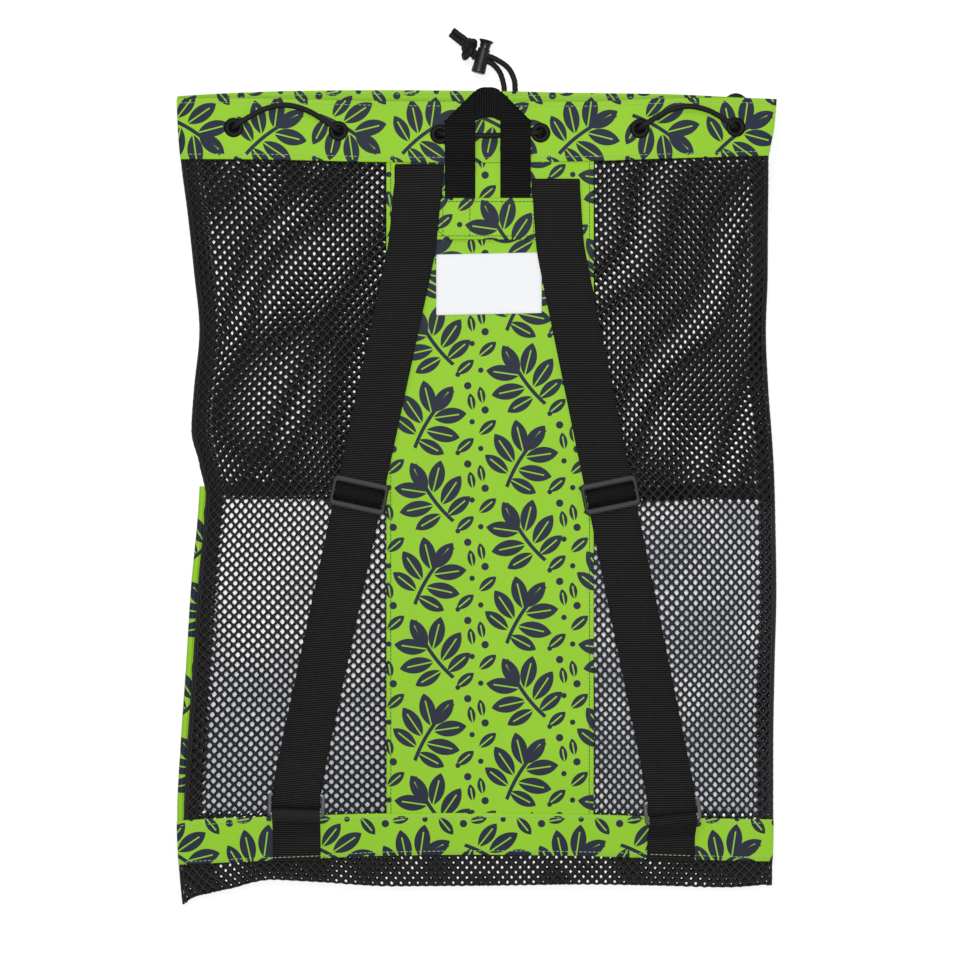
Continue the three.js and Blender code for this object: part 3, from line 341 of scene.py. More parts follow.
def leaf_group():
    """Pointed leaf: distance inside its edge, less a vein along the middle."""
    tree, start, end = new_group(
        "print_leaf", "ShaderNodeTree",
        [("Flat", "Vector"), ("Place", "Vector"), ("Turn", "Float"), ("Half Length", "Float", 12.0),
         ("Half Width", "Float", 5.0)],
        [("Inside", "Float")])
    moved = vector_node(tree, "SUBTRACT", start.outputs["Flat"], start.outputs["Place"])
    turned = output(tree, "ShaderNodeVectorRotate", {
        "Vector": moved, "Angle": math_node(tree, "MULTIPLY", start.outputs["Turn"], -1)},
        rotation_type="Z_AXIS")
    long, wide = start.outputs["Half Length"], start.outputs["Half Width"]
    squares = math_node(tree, "ADD", math_node(tree, "MULTIPLY", long, long),
                        math_node(tree, "MULTIPLY", wide, wide))
    radius = math_node(tree, "DIVIDE", squares, math_node(tree, "MULTIPLY", wide, 2))
    offset = math_node(tree, "SUBTRACT", radius, wide)
    reach = []
    for sign in (1, -1):
        centre = vector_of(tree, Y=math_node(tree, "MULTIPLY", offset, sign))
        reach.append(vector_node(tree, "DISTANCE", turned, centre))
    inside = math_node(tree, "SUBTRACT", radius, math_node(tree, "MAXIMUM", *reach))
    spot = xyz(tree, turned)
    beside = math_node(tree, "SUBTRACT", math_node(tree, "ABSOLUTE", spot["Y"]), VEIN["half_width"])
    past = math_node(tree, "SUBTRACT", spot["X"], math_node(tree, "MULTIPLY", long, VEIN["reach"]))
    cut = math_node(tree, "MAXIMUM", beside, past)
    tree.links.new(math_node(tree, "MINIMUM", inside, cut), end.inputs["Inside"])
    return tree


# Leaf print: sprigs in a half-drop repeat, leaning to either side by turns
PRINT_PITCH = {"x": 74, "y": 63}
VEIN = {"half_width": 0.55, "reach": 0.55}
LEAVES = table(
    "x y turn half_length half_width",
    (0.5, 17.5, 86, 13, 6.2), (-11, 12, 138, 13.5, 6.4), (12.5, 9.5, 42, 13.5, 6.4),
    (-15.5, -3, 158, 14, 6.4), (16, -6, 22, 14, 6.4), (-13.5, -17, 176, 12, 5.4), (14, -20, 6, 12, 5.4),
)
STEM = {"radius": 110, "half_width": 1.5, "half_length": 28}
FILLERS = table(
    "x y turn half_length half_width",
    (-28, 23, 40, 9, 4.2), (28, -23, 40, 9, 4.2), (-33, -14, 100, 7, 3.2), (33, 12, 100, 7, 3.2))
BERRIES = table(
    "x y radius", (30, 25, 3.0), (-30, -26, 3.0), (-33.5, 6, 2.2), (33.5, -4, 2.2), (22, -29, 2.0))
SPRIG_LEAN, INK_EDGE = 34, 0.12


def print_group(leaf):
    """Ink of the leaf print at a place on the cloth."""
    tree, start, end = new_group(
        "leaf_print", "ShaderNodeTree", [("Flat", "Vector")], [("Ink", "Float")])
    flat = xyz(tree, start.outputs["Flat"])
    row_at = math_node(tree, "DIVIDE", flat["X"], PRINT_PITCH["x"])
    row = math_node(tree, "FLOOR", row_at)
    odd = math_node(tree, "PINGPONG", row, 1)
    along = math_node(tree, "ADD", math_node(tree, "DIVIDE", flat["Y"], PRINT_PITCH["y"]),
                      math_node(tree, "MULTIPLY", odd, 0.5))
    place = math_node(tree, "FLOOR", along)
    lean = math_node(tree, "PINGPONG", math_node(tree, "ADD", place, row), 1)
    centred = [
        math_node(tree, "MULTIPLY", math_node(tree, "SUBTRACT", math_node(tree, "FRACT", value), 0.5), pitch)
        for value, pitch in ((row_at, PRINT_PITCH["x"]), (along, PRINT_PITCH["y"]))]
    local = vector_of(tree, X=centred[0], Y=centred[1])
    angle = math_node(tree, "MULTIPLY_ADD", lean, math.radians(-2 * SPRIG_LEAN), math.radians(SPRIG_LEAN))
    sprig = output(tree, "ShaderNodeVectorRotate", {"Vector": local, "Angle": angle}, rotation_type="Z_AXIS")
    shapes = []
    for ground, leaves in ((sprig, LEAVES), (local, FILLERS)):
        for x, y, turn, long, wide in zip(*leaves.values()):
            shapes.append(place_group(tree, leaf, Flat=ground, Place=(x, y, 0), Turn=math.radians(turn),
                                      Half_Length=long, Half_Width=wide)["Inside"])
    bend = vector_node(tree, "DISTANCE", sprig, (STEM["radius"], 0, 0))
    stem = math_node(tree, "SUBTRACT", STEM["half_width"],
                     math_node(tree, "ABSOLUTE", math_node(tree, "SUBTRACT", bend, STEM["radius"])))
    ends = math_node(tree, "SUBTRACT", STEM["half_length"], vector_node(tree, "LENGTH", sprig))
    shapes.append(math_node(tree, "MINIMUM", stem, ends))
    for x, y, radius in zip(*BERRIES.values()):
        shapes.append(math_node(tree, "SUBTRACT", radius, vector_node(tree, "DISTANCE", local, (x, y, 0))))
    inside = shapes[0]
    for shape in shapes[1:]:
        inside = math_node(tree, "MAXIMUM", inside, shape)
    tree.links.new(ranged(tree, inside, start=-INK_EDGE, stop=INK_EDGE), end.inputs["Ink"])
    return tree


def wear_group():
    """Uneven shade and dust of used textile, from broad and fine noise; on the coated reverse its broad shade
    is painted light and shade.
    """
    tree, start, end = new_group(
        "uneven_shade", "ShaderNodeTree",
        [("Place", "Vector"), ("Broad", "Float", 25.0), ("Fine", "Float", 400.0)],
        [("Shade", "Float"), ("Grain", "Float")])
    for name, detail in (("Broad", 3.0), ("Fine", 2.0)):
        noise = node(tree, "ShaderNodeTexNoise", {
            "Vector": start.outputs["Place"], "Scale": start.outputs[name], "Detail": detail})
        tree.links.new(noise.outputs["Fac"], end.inputs["Shade" if name == "Broad" else "Grain"])
    return tree


WEAVE = weave_group()
PRINT = print_group(leaf_group())
UNEVEN = wear_group()
UV_UNIT = 100


def new_finish(name, **values):
    material = bpy.data.materials.new(name)
    material.use_nodes = True
    tree = material.node_tree
    shader = tree.nodes["Principled BSDF"]
    for key, value in values.items():
        shader.inputs[key.replace("_", " ")].default_value = value
    return material, tree, shader


def object_place(tree):
    return node(tree, "ShaderNodeTexCoord").outputs["Object"]


def flat_place(tree, turn=0, move=(0, 0, 0)):
    return output(tree, "ShaderNodeMapping", {
        "Vector": output(tree, "ShaderNodeUVMap", uv_map="flat"), "Location": move,
        "Rotation": (0, 0, math.radians(turn)), "Scale": (UV_UNIT, UV_UNIT, UV_UNIT)})


def blend_colours(tree, share, a, b):
    a, b = (colour if isinstance(colour, bpy.types.NodeSocket) else (*colour, 1) for colour in (a, b))
    return node(tree, "ShaderNodeMix", {0: share, 6: a, 7: b}, data_type="RGBA").outputs[2]


def bumped(tree, height, distance, strength, **normal):
    return output(tree, "ShaderNodeBump", {
        "Height": height, "Distance": distance, "Strength": strength, **normal})


def fill(tree, shader, colour, roughness=None, normal=None):
    """Colour, roughness and normal of a finish, where they change over the surface."""
    for key, value in (("Base Color", colour), ("Roughness", roughness), ("Normal", normal)):
        if value is not None:
            tree.links.new(value, shader.inputs[key])


LIME, LIME_LOW, INK = (0.325, 0.640, 0.030), (0.270, 0.570, 0.022), (0.018, 0.024, 0.046)


def printed_finish(name, turn=0, move=(0, 0, 0), shaded=False):
    material, tree, shader = new_finish(name, Roughness=0.62, Specular_IOR_Level=0.2)
    flat = flat_place(tree, turn, move)
    shade = place_group(tree, UNEVEN, Place=object_place(tree), Broad=14.0, Fine=900.0)
    ink = place_group(tree, PRINT, Flat=flat)["Ink"]
    weave = place_group(tree, WEAVE, Flat=flat, Pitch=0.42)["Height"]
    ground = blend_colours(tree, shade["Shade"], LIME_LOW, LIME)
    printed = blend_colours(tree, ink, ground, INK)
    # Painted shade between the yarns of the weave, and a faint painted highlight on their crowns
    yarns = ranged(tree, weave, low=0.90, high=1.04)
    # Painted shade on the inside of the front band, from the point value mouth_light
    if shaded:
        yarns = math_node(tree, "MULTIPLY", yarns, point_value(tree, "mouth_light"))
    soft = bumped(tree, shade["Shade"], distance=0.004, strength=0.35)
    fill(tree, shader, scaled(tree, printed, yarns), ranged(tree, shade["Grain"], low=0.54, high=0.70),
         bumped(tree, weave, distance=0.00008, strength=0.8, Normal=soft))
    return material


def plain_cloth_finish(name, low, high, rough, shine, pitch, depth):
    """Plain woven cloth; its broad noise and the point value fade make it paler or darker by place, which on
    the coated reverse is painted light and shade.
    """
    material, tree, shader = new_finish(name, Roughness=rough, Specular_IOR_Level=shine)
    flat = flat_place(tree)
    shade = place_group(tree, UNEVEN, Place=object_place(tree), Broad=22.0, Fine=700.0)
    weave = place_group(tree, WEAVE, Flat=flat, Pitch=pitch)["Height"]
    spread = ranged(tree, shade["Shade"], start=0.33, stop=0.67)
    # Broad noise and the point value fade: on the coated reverse, painted light and shade
    share = math_node(tree, "ADD", spread, point_value(tree, "fade"))
    soft = bumped(tree, shade["Shade"], distance=0.003, strength=0.3)
    fill(tree, shader, blend_colours(tree, share, low, high),
         normal=bumped(tree, weave, depth, strength=0.8, Normal=soft))
    return material


def yarn_finish(name, low, high, rough, broad, fine, depth, lit=None):
    """Yarn of net, cord and thread; lit is its colour where painted light stands for light coming back on it.
    """
    material, tree, shader = new_finish(name, Roughness=rough, Specular_IOR_Level=0.12)
    shade = place_group(tree, UNEVEN, Place=object_place(tree), Broad=broad, Fine=fine)
    colour = blend_colours(tree, shade["Grain"], low, high)
    # Painted light: the lit colour where the point value lift is set
    if lit:
        colour = blend_colours(tree, point_value(tree, "lift"), colour, lit)
    fill(tree, shader, colour, ranged(tree, shade["Shade"], rough - 0.1, rough + 0.1),
         bumped(tree, shade["Grain"], depth, strength=0.6))
    return material


def webbing_finish(name, groove_shade, low, high, shine):
    """Ribbed webbing, with painted shade in the grooves between its ribs."""
    material, tree, shader = new_finish(name, Roughness=0.55, Specular_IOR_Level=shine)
    shade = place_group(tree, UNEVEN, Place=object_place(tree), Broad=40.0, Fine=1000.0)
    yarn = blend_colours(tree, shade["Grain"], low, high)
    # Painted shade: the groove colour where rib_rise is low
    fill(tree, shader, blend_colours(tree, point_value(tree, "rib_rise"), groove_shade, yarn),
         ranged(tree, shade["Shade"], low=0.45, high=0.65),
         bumped(tree, shade["Grain"], distance=0.00015, strength=0.7))
    return material


def moulded_finish(name, low, high, rough, shine):
    material, tree, shader = new_finish(name, Roughness=rough, Specular_IOR_Level=shine)
    shade = place_group(tree, UNEVEN, Place=object_place(tree), Broad=60.0, Fine=1800.0)
    fill(tree, shader, blend_colours(tree, shade["Shade"], low, high),
         ranged(tree, shade["Grain"], rough - 0.08, rough + 0.1),
         bumped(tree, shade["Grain"], distance=0.00005, strength=0.5))
    return material


# lit: painted light on the net over the pale reverse
NET_YARN = yarn_finish(
    "net_yarn", (0.003, 0.003, 0.0031), (0.034, 0.034, 0.0345), rough=0.55, broad=60, fine=2200, depth=0.00012,
    lit=(0.080, 0.085, 0.095))
# Darker copy of the net yarn: painted shade on the front net and the hems, which lie under other layers
SHADED_NET_YARN = yarn_finish(
    "inner_yarn", (0.002, 0.002, 0.002), (0.020, 0.020, 0.0203), rough=0.65, broad=60, fine=2200, depth=0.00012)
CORD_YARN = yarn_finish(
    "cord_yarn", (0.006, 0.006, 0.006), (0.02, 0.02, 0.02), rough=0.6, broad=60, fine=3000, depth=0.0001)
LIGHT_THREAD = yarn_finish(
    "light_thread", (0.30, 0.42, 0.22), (0.46, 0.60, 0.36), rough=0.5, broad=90, fine=2500, depth=0.00005)
DARK_THREAD = yarn_finish(
    "dark_thread", (0.03, 0.055, 0.05), (0.07, 0.11, 0.10), rough=0.5, broad=90, fine=2500, depth=0.00005)
# The first colour of each webbing is the painted shade in its grooves
STRAP_YARN = webbing_finish(
    "strap_yarn", (0.0001, 0.0001, 0.0001), (0.008, 0.008, 0.0078), (0.052, 0.052, 0.0507), shine=0.03)
HANDLE_YARN = webbing_finish(
    "handle_yarn", (0.0001, 0.0001, 0.0001), (0.003, 0.003, 0.003), (0.030, 0.030, 0.0288), shine=0.03)
PANEL_PRINT = printed_finish("panel_print")
BAND_PRINT = printed_finish("band_print", turn=90, move=(34, 7, 0))
# Inside of the front band: the print with painted shade under the edge of the back band
SHADED_INNER_PRINT = printed_finish("inner_band_print", turn=90, move=(34, 7, 0), shaded=True)
# Coated reverse from bluish grey to white: painted light and shade, from broad noise and the point value fade
REVERSE = plain_cloth_finish(
    "coated_reverse", (0.44, 0.47, 0.54), (0.95, 0.96, 0.97), rough=0.36, shine=0.5, pitch=0.45, depth=0.00005)
LABEL_CLOTH = plain_cloth_finish(
    "label_satin", (0.755, 0.77, 0.785), (0.775, 0.79, 0.805), rough=0.45, shine=0.35, pitch=0.3, depth=0.00003)
LOCK_PLASTIC = moulded_finish(
    "lock_plastic", (0.009, 0.009, 0.0102), (0.016, 0.016, 0.0176), rough=0.36, shine=0.34)
PLASTIC = moulded_finish("black_plastic", (0.008, 0.008, 0.009), (0.016, 0.016, 0.017), rough=0.46, shine=0.2)
# Ring paler than the black plastic: a painted highlight on its bars
RING_PLASTIC = moulded_finish("ring_plastic", (0.05, 0.05, 0.053), (0.09, 0.09, 0.094), rough=0.34, shine=0.6)
LACQUER = moulded_finish("black_lacquer", (0.002, 0.002, 0.002), (0.005, 0.005, 0.005), rough=0.55, shine=0.15)


def floor_finish():
    material, tree, shader = new_finish("pale_floor", Roughness=0.9)
    shade = place_group(tree, UNEVEN, Place=object_place(tree), Broad=2.0, Fine=60.0)
    fill(tree, shader, blend_colours(tree, shade["Shade"], (0.60, 0.60, 0.60), (0.62, 0.62, 0.62)))
    shader.inputs["Emission Color"].default_value = (1, 1, 1, 1)
    shader.inputs["Emission Strength"].default_value = FLOOR["glow"]
    return material


def set_floor():
    reach, low = FLOOR["reach"], FLOOR["low"]
    mesh = bpy.data.meshes.new("floor")
    mesh.from_pydata([(-reach, -reach, low), (reach, -reach, low), (reach, reach, low), (-reach, reach, low)],
                     [], [(0, 1, 2, 3)])
    mesh.materials.append(floor_finish())
    add_object("floor", mesh)


# Mesh helpers
def new_piece(name, points, faces, uvs=None, materials=(), face_materials=None):
    """Piece from points in millimetres; uvs is one pair for each point, in millimetres."""
    mesh = bpy.data.meshes.new(name)
    mesh.from_pydata((np.asarray(points, float) * MM).tolist(), [], faces)
    if uvs is not None:
        layer = mesh.uv_layers.new(name="flat")
        flat = np.asarray(uvs, float) / UV_UNIT
        corner = np.empty(len(mesh.loops), dtype=np.int32)
        mesh.loops.foreach_get("vertex_index", corner)
        layer.data.foreach_set("uv", flat[corner].astype(np.float32).ravel())
    for material in materials:
        mesh.materials.append(material)
    if face_materials is not None:
        mesh.polygons.foreach_set("material_index", np.asarray(face_materials, dtype=np.int32))
    mesh.polygons.foreach_set("use_smooth", np.ones(len(mesh.polygons), dtype=bool))
    mesh.update()
    return add_object(name, mesh)


def settle(piece):
    """Apply what the modifiers make as a plain mesh."""
    graph = bpy.context.evaluated_depsgraph_get()
    made = bpy.data.meshes.new_from_object(piece.evaluated_get(graph))
    piece.modifiers.clear()
    before, piece.data = piece.data, made
    bpy.data.meshes.remove(before)
    made.name = piece.name
    return piece


def join(name, pieces):
    """One piece of several, with their materials kept."""
    with bpy.context.temp_override(active_object=pieces[0], selected_editable_objects=pieces,
                                   selected_objects=pieces):
        bpy.ops.object.join()
    pieces[0].name = pieces[0].data.name = name
    return pieces[0]


def grid_faces(rows, columns):
    index = np.arange(rows * columns).reshape(rows, columns)
    corners = [index[:-1, :-1], index[:-1, 1:], index[1:, 1:], index[1:, :-1]]
    return np.stack(corners, axis=2).reshape(-1, 4)


def tube_faces(rings, count):
    """Faces of a tube through rings of points, open at both ends."""
    faces = []
    for i in range(rings - 1):
        for k in range(count):
            n = (k + 1) % count
            faces.append((i * count + k, i * count + n, (i + 1) * count + n, (i + 1) * count + k))
    return faces


def rod_faces(rings, count):
    """Faces of a tube with both ends closed."""
    last = (rings - 1) * count
    return tube_faces(rings, count) + [tuple(range(count))[::-1], tuple(range(last, last + count))]


def ring_faces(rings, count):
    """Faces of a ring of closed sections."""
    faces = []
    for i in range(rings):
        n = (i + 1) % rings
        for k in range(count):
            m = (k + 1) % count
            faces.append((i * count + k, n * count + k, n * count + m, i * count + m))
    return faces


def circle(count, across=1.0, up=1.0):
    return [(across * math.cos(TAU * k / count), up * math.sin(TAU * k / count)) for k in range(count)]


def grid_normals(grid):
    across, along = np.gradient(grid, axis=1), np.gradient(grid, axis=0)
    normal = np.cross(across, along)
    return normal / np.linalg.norm(normal, axis=2, keepdims=True)


def plan_grid(step, left, right, foot, head, height):
    """Rows of points over a patch of the plan, from foot to head."""
    x0, x1 = float(left(0.0)), float(right(0.0))
    columns = max(2, round((x1 - x0) / step))
    rows = max(2, round(float(head(0.0) - foot(0.0)) / step))
    s, t = np.meshgrid(np.linspace(0, 1, columns + 1), np.linspace(0, 1, rows + 1))
    near = mix(x0, x1, s)
    y = mix(foot(near), head(near), t)
    x = mix(left(y), right(y), s)
    return np.stack([x, y, height(x, y)], axis=2)


RIM = (45, 90, 135)


def cloth_wall(name, grid, thickness, materials, flat=None, under=None):
    """Closed wall about a grid, with a rounded rim; under is the material slot of the lower face."""
    rows, columns = grid.shape[:2]
    normal = grid_normals(grid)
    flat = grid[:, :, :2] if flat is None else flat
    half = thickness / 2
    loop = [(0, c) for c in range(columns)] + [(r, columns - 1) for r in range(1, rows)]
    loop += [(rows - 1, c) for c in range(columns - 2, -1, -1)] + [(r, 0) for r in range(rows - 2, 0, -1)]
    at = np.array(loop)
    inner = np.clip(at, 1, [rows - 2, columns - 2])
    edge, edge_normal = grid[at[:, 0], at[:, 1]], normal[at[:, 0], at[:, 1]]
    out = edge - grid[inner[:, 0], inner[:, 1]]
    out -= np.sum(out * edge_normal, axis=1, keepdims=True) * edge_normal
    out /= np.maximum(np.linalg.norm(out, axis=1, keepdims=True), 1e-6)
    points = [(grid + normal * half).reshape(-1, 3), (grid - normal * half).reshape(-1, 3)]
    uvs = [flat.reshape(-1, 2)] * 2
    for turn in RIM:
        a = math.radians(turn)
        points.append(edge + half * (math.cos(a) * edge_normal + math.sin(a) * out))
        uvs.append(flat[at[:, 0], at[:, 1]])
    count, rim = rows * columns, len(loop)
    top = grid_faces(rows, columns)
    low = top[:, [0, 3, 2, 1]] + count
    rings = [at[:, 0] * columns + at[:, 1]]
    rings += [2 * count + k * rim + np.arange(rim) for k in range(len(RIM))]
    rings.append(rings[0] + count)
    sides = [np.stack([above, below, np.roll(below, -1), np.roll(above, -1)], axis=1)
             for above, below in zip(rings, rings[1:])]
    faces = np.concatenate([top, low, *sides])
    slots = np.zeros(len(faces), dtype=np.int32)
    if under is not None:
        slots[len(top):2 * len(top)] = under
    return new_piece(name, np.concatenate(points), faces.tolist(), np.concatenate(uvs), materials, slots)


# Geometry node trees
KEEP_IN, EDGE_KEEP = 0.0002, 0.49
WELD, EMPTY = 0.00005, 0.000002


def end_tree(tree, end, geometry, finish):
    done = output(tree, "GeometryNodeSetMaterial", {"Geometry": geometry, "Material": finish})
    tree.links.new(done, end.inputs[0])
    return tree


def laying_tree():
    """Units in rows over the flat cut of a cloth, laid on the cloth by its own flat map."""
    tree, start, end = new_group(
        "units_on_cloth", "GeometryNodeTree",
        [("Cloth", "Geometry"), ("Unit", "Object"), ("Width", "Float"), ("Length", "Float"),
         ("Pitch Across", "Float"), ("Pitch Along", "Float"), ("Columns", "Int"), ("Rows", "Int"),
         ("Staggered", "Bool"), ("Weld", "Float"), ("Finish", "Material")],
        [("Piece", "Geometry")])
    given = start.outputs

    def span(pitch, count):
        return math_node(tree, "MULTIPLY", given[pitch], math_node(tree, "SUBTRACT", given[count], 1.0))

    first = output(tree, "GeometryNodeMeshGrid", {
        "Size X": span("Pitch Across", "Columns"), "Size Y": span("Pitch Along", "Rows"),
        "Vertices X": given["Columns"], "Vertices Y": given["Rows"]})
    half = vector_of(tree, X=math_node(tree, "MULTIPLY", given["Pitch Across"], 0.5),
                     Y=math_node(tree, "MULTIPLY", given["Pitch Along"], 0.5))
    second = output(tree, "GeometryNodeTransform", {"Geometry": first, "Translation": half})
    both = node(tree, "GeometryNodeJoinGeometry")
    for rows in (first, second):
        tree.links.new(rows, both.inputs[0])
    chosen = output(tree, "GeometryNodeSwitch", {
        "Switch": given["Staggered"], "False": first, "True": both.outputs[0]}, input_type="GEOMETRY")
    place = xyz(tree, output(tree, "GeometryNodeInputPosition"))
    outside = []
    for axis, size, pitch in (("X", "Width", "Pitch Across"), ("Y", "Length", "Pitch Along")):
        inset = math_node(tree, "MULTIPLY_ADD", given[pitch], -EDGE_KEEP,
                          math_node(tree, "MULTIPLY", given[size], 0.5))
        outside.append(math_node(tree, "GREATER_THAN", math_node(tree, "ABSOLUTE", place[axis]), inset))
    kept = output(tree, "GeometryNodeDeleteGeometry", {
        "Geometry": chosen, "Selection": math_node(tree, "MAXIMUM", *outside)}, domain="POINT")
    unit = node(tree, "GeometryNodeObjectInfo", {"Object": given["Unit"]}).outputs["Geometry"]
    laid = output(tree, "GeometryNodeInstanceOnPoints", {"Points": kept, "Instance": unit})
    real = output(tree, "GeometryNodeRealizeInstances", {0: laid})
    welded = output(tree, "GeometryNodeMergeByDistance", {"Geometry": real, "Distance": given["Weld"]})
    spot = xyz(tree, output(tree, "GeometryNodeInputPosition"))
    shares = [
        output(tree, "ShaderNodeClamp", {
            "Value": math_node(tree, "ADD", math_node(tree, "DIVIDE", spot[axis], given[size]), 0.5),
            "Min": KEEP_IN, "Max": 1 - KEEP_IN})
        for axis, size in (("X", "Width"), ("Y", "Length"))]
    share = vector_of(tree, X=shares[0], Y=shares[1])
    flat = output(tree, "GeometryNodeInputNamedAttribute", {"Name": "share"}, data_type="FLOAT_VECTOR")
    at, normal = (
        output(tree, "GeometryNodeSampleUVSurface", {
            0: given["Cloth"], 1: output(tree, field), 2: flat, 3: share}, data_type="FLOAT_VECTOR")
        for field in ("GeometryNodeInputPosition", "GeometryNodeInputNormal"))
    there = vector_node(tree, "ADD", at, scaled(tree, normal, spot["Z"]))
    draped = output(tree, "GeometryNodeSetPosition", {"Geometry": welded, "Position": there})
    smooth = output(tree, "GeometryNodeSetShadeSmooth", {"Geometry": draped})
    return end_tree(tree, end, smooth, given["Finish"])


def run_tree(piece, tree, **values):
    modifier = piece.modifiers.new(tree.name, "NODES")
    modifier.node_group = tree
    for item in tree.interface.items_tree:
        if item.in_out == "INPUT" and item.name.replace(" ", "_") in values:
            modifier[item.identifier] = values[item.name.replace(" ", "_")]
    return settle(piece)


LAYING = laying_tree()


def guide(name, grid, shares):
    """Sheet that carries its flat map as shares of its width and length."""
    faces = grid_faces(*grid.shape[:2])
    made = new_piece(name, grid.reshape(-1, 3), faces.tolist(), shares.reshape(-1, 2) * UV_UNIT)
    made.data.uv_layers[0].name = "share"
    return made


def strand_tree():
    """Braided or plain strand along a path."""
    tree, start, end = new_group(
        "braided_strand", "GeometryNodeTree",
        [("Path", "Geometry"), ("Radius", "Float"), ("Step", "Float"), ("Sides", "Int"), ("Strands", "Float"),
         ("Lay", "Float"), ("Relief", "Float"), ("Finish", "Material")],
        [("Piece", "Geometry")])
    given = start.outputs

    def marked(curve, name, measure):
        """Curve that carries a measure along it."""
        value = node(tree, "GeometryNodeSplineParameter").outputs[measure]
        return output(tree, "GeometryNodeStoreNamedAttribute", {
            "Geometry": curve, "Name": name, "Value": value}, data_type="FLOAT", domain="POINT")

    line = output(tree, "GeometryNodeMeshToCurve", {0: given["Path"]})
    even = output(tree, "GeometryNodeResampleCurve", {"Curve": line, "Length": given["Step"]}, mode="LENGTH")
    ring = output(tree, "GeometryNodeCurvePrimitiveCircle", {
        "Resolution": given["Sides"], "Radius": given["Radius"]}, mode="RADIUS")
    tube = output(tree, "GeometryNodeCurveToMesh", {
        "Curve": marked(even, "along", "Length"), "Profile Curve": marked(ring, "around", "Factor"),
        "Fill Caps": True})
    along, around = (
        output(tree, "GeometryNodeInputNamedAttribute", {"Name": name}, data_type="FLOAT")
        for name in ("along", "around"))
    turns = math_node(tree, "MULTIPLY", around, given["Strands"])
    lays = math_node(tree, "DIVIDE", along, given["Lay"])
    waves = [math_node(tree, "SINE", math_node(tree, "MULTIPLY", math_node(tree, way, turns, lays), TAU))
             for way in ("ADD", "SUBTRACT")]
    rise = math_node(tree, "MULTIPLY", math_node(tree, "MULTIPLY", *waves), given["Relief"])
    lift = scaled(tree, output(tree, "GeometryNodeInputNormal"), rise)
    braided = output(tree, "GeometryNodeSetPosition", {"Geometry": tube, "Offset": lift})
    smooth = output(tree, "GeometryNodeSetShadeSmooth", {"Geometry": braided})
    return end_tree(tree, end, smooth, given["Finish"])


STRAND = strand_tree()


def path_piece(name, paths):
    """Lines through points in millimetres; a path that ends where it starts is closed."""
    points, edges = [], []
    for path in paths:
        first, count = len(points), len(path)
        closed = np.allclose(path[0], path[-1])
        points += list(np.asarray(path, float)[:count - 1] if closed else np.asarray(path, float))
        edges += [(first + k, first + k + 1) for k in range(count - 2 if closed else count - 1)]
        if closed:
            edges.append((first + count - 2, first))
    mesh = bpy.data.meshes.new(name)
    mesh.from_pydata((np.array(points) * MM).tolist(), edges, [])
    return add_object(name, mesh)


def strand(name, paths, size, finish):
    return run_tree(path_piece(name, paths), STRAND, Radius=size["radius"] * MM, Step=size["step"] * MM,
                    Sides=size["sides"], Strands=size["strands"], Lay=size["lay"] * MM,
                    Relief=size["relief"] * MM, Finish=finish)


# Net: staggered holes, rounded diamonds in shape, with rounded strands between them
MESH = {"across": 7.25, "along": 8.0, "hole_x": 1.95, "hole_y": 2.45, "slant": 0.8,
        "strand": 0.42, "knot": 0.55}


def net_unit(across, along, open_share):
    """Strands about one hole of a net, which is open by that share of its full size."""
    w, l = across / 2, along / 2
    corners = [(w, 0), (w / 2, l / 2), (0, l), (-w / 2, l / 2),
               (-w, 0), (-w / 2, -l / 2), (0, -l), (w / 2, -l / 2)]
    sides, points, faces = len(corners), [], []
    for side in (1, -1):
        for k, (x, y) in enumerate(corners):
            points.append((x, y, side * (MESH["knot"] if k % 2 == 0 else MESH["strand"])))
    for k, (x, y) in enumerate(circle(sides, MESH["hole_x"], MESH["hole_y"])):
        reach = open_share * (1 if k % 2 == 0 else MESH["slant"])
        points.append((reach * x, reach * y, 0))
    for k in range(sides):
        n = (k + 1) % sides
        faces.append((k, n, 2 * sides + n, 2 * sides + k))
        faces.append((sides + n, sides + k, 2 * sides + k, 2 * sides + n))
    return new_piece("net_unit", points, faces)


def close_rim(piece):
    """Join the upper and lower strands along the cut edge of a net."""
    shape = bmesh.new()
    shape.from_mesh(piece.data)
    shape.verts.ensure_lookup_table()
    rim = [edge for edge in shape.edges if edge.is_boundary]
    corners = sorted({v.index for edge in rim for v in edge.verts})
    tree = KDTree(len(corners))
    for index in corners:
        tree.insert(shape.verts[index].co, index)
    tree.balance()
    across = {index: tree.find_n(shape.verts[index].co, 2)[1][1] for index in corners}
    done = set()
    for edge in rim:
        a, b = (v.index for v in edge.verts)
        ring = (a, b, across[b], across[a])
        if len(set(ring)) == 4 and frozenset(ring) not in done:
            done.add(frozenset(ring))
            shape.faces.new([shape.verts[index] for index in ring]).smooth = True
    bmesh.ops.recalc_face_normals(shape, faces=shape.faces)
    shape.to_mesh(piece.data)
    shape.free()
    return piece


def net_cells(width, length):
    return max(1, round(width / MESH["across"])), max(1, round(length / MESH["along"]))


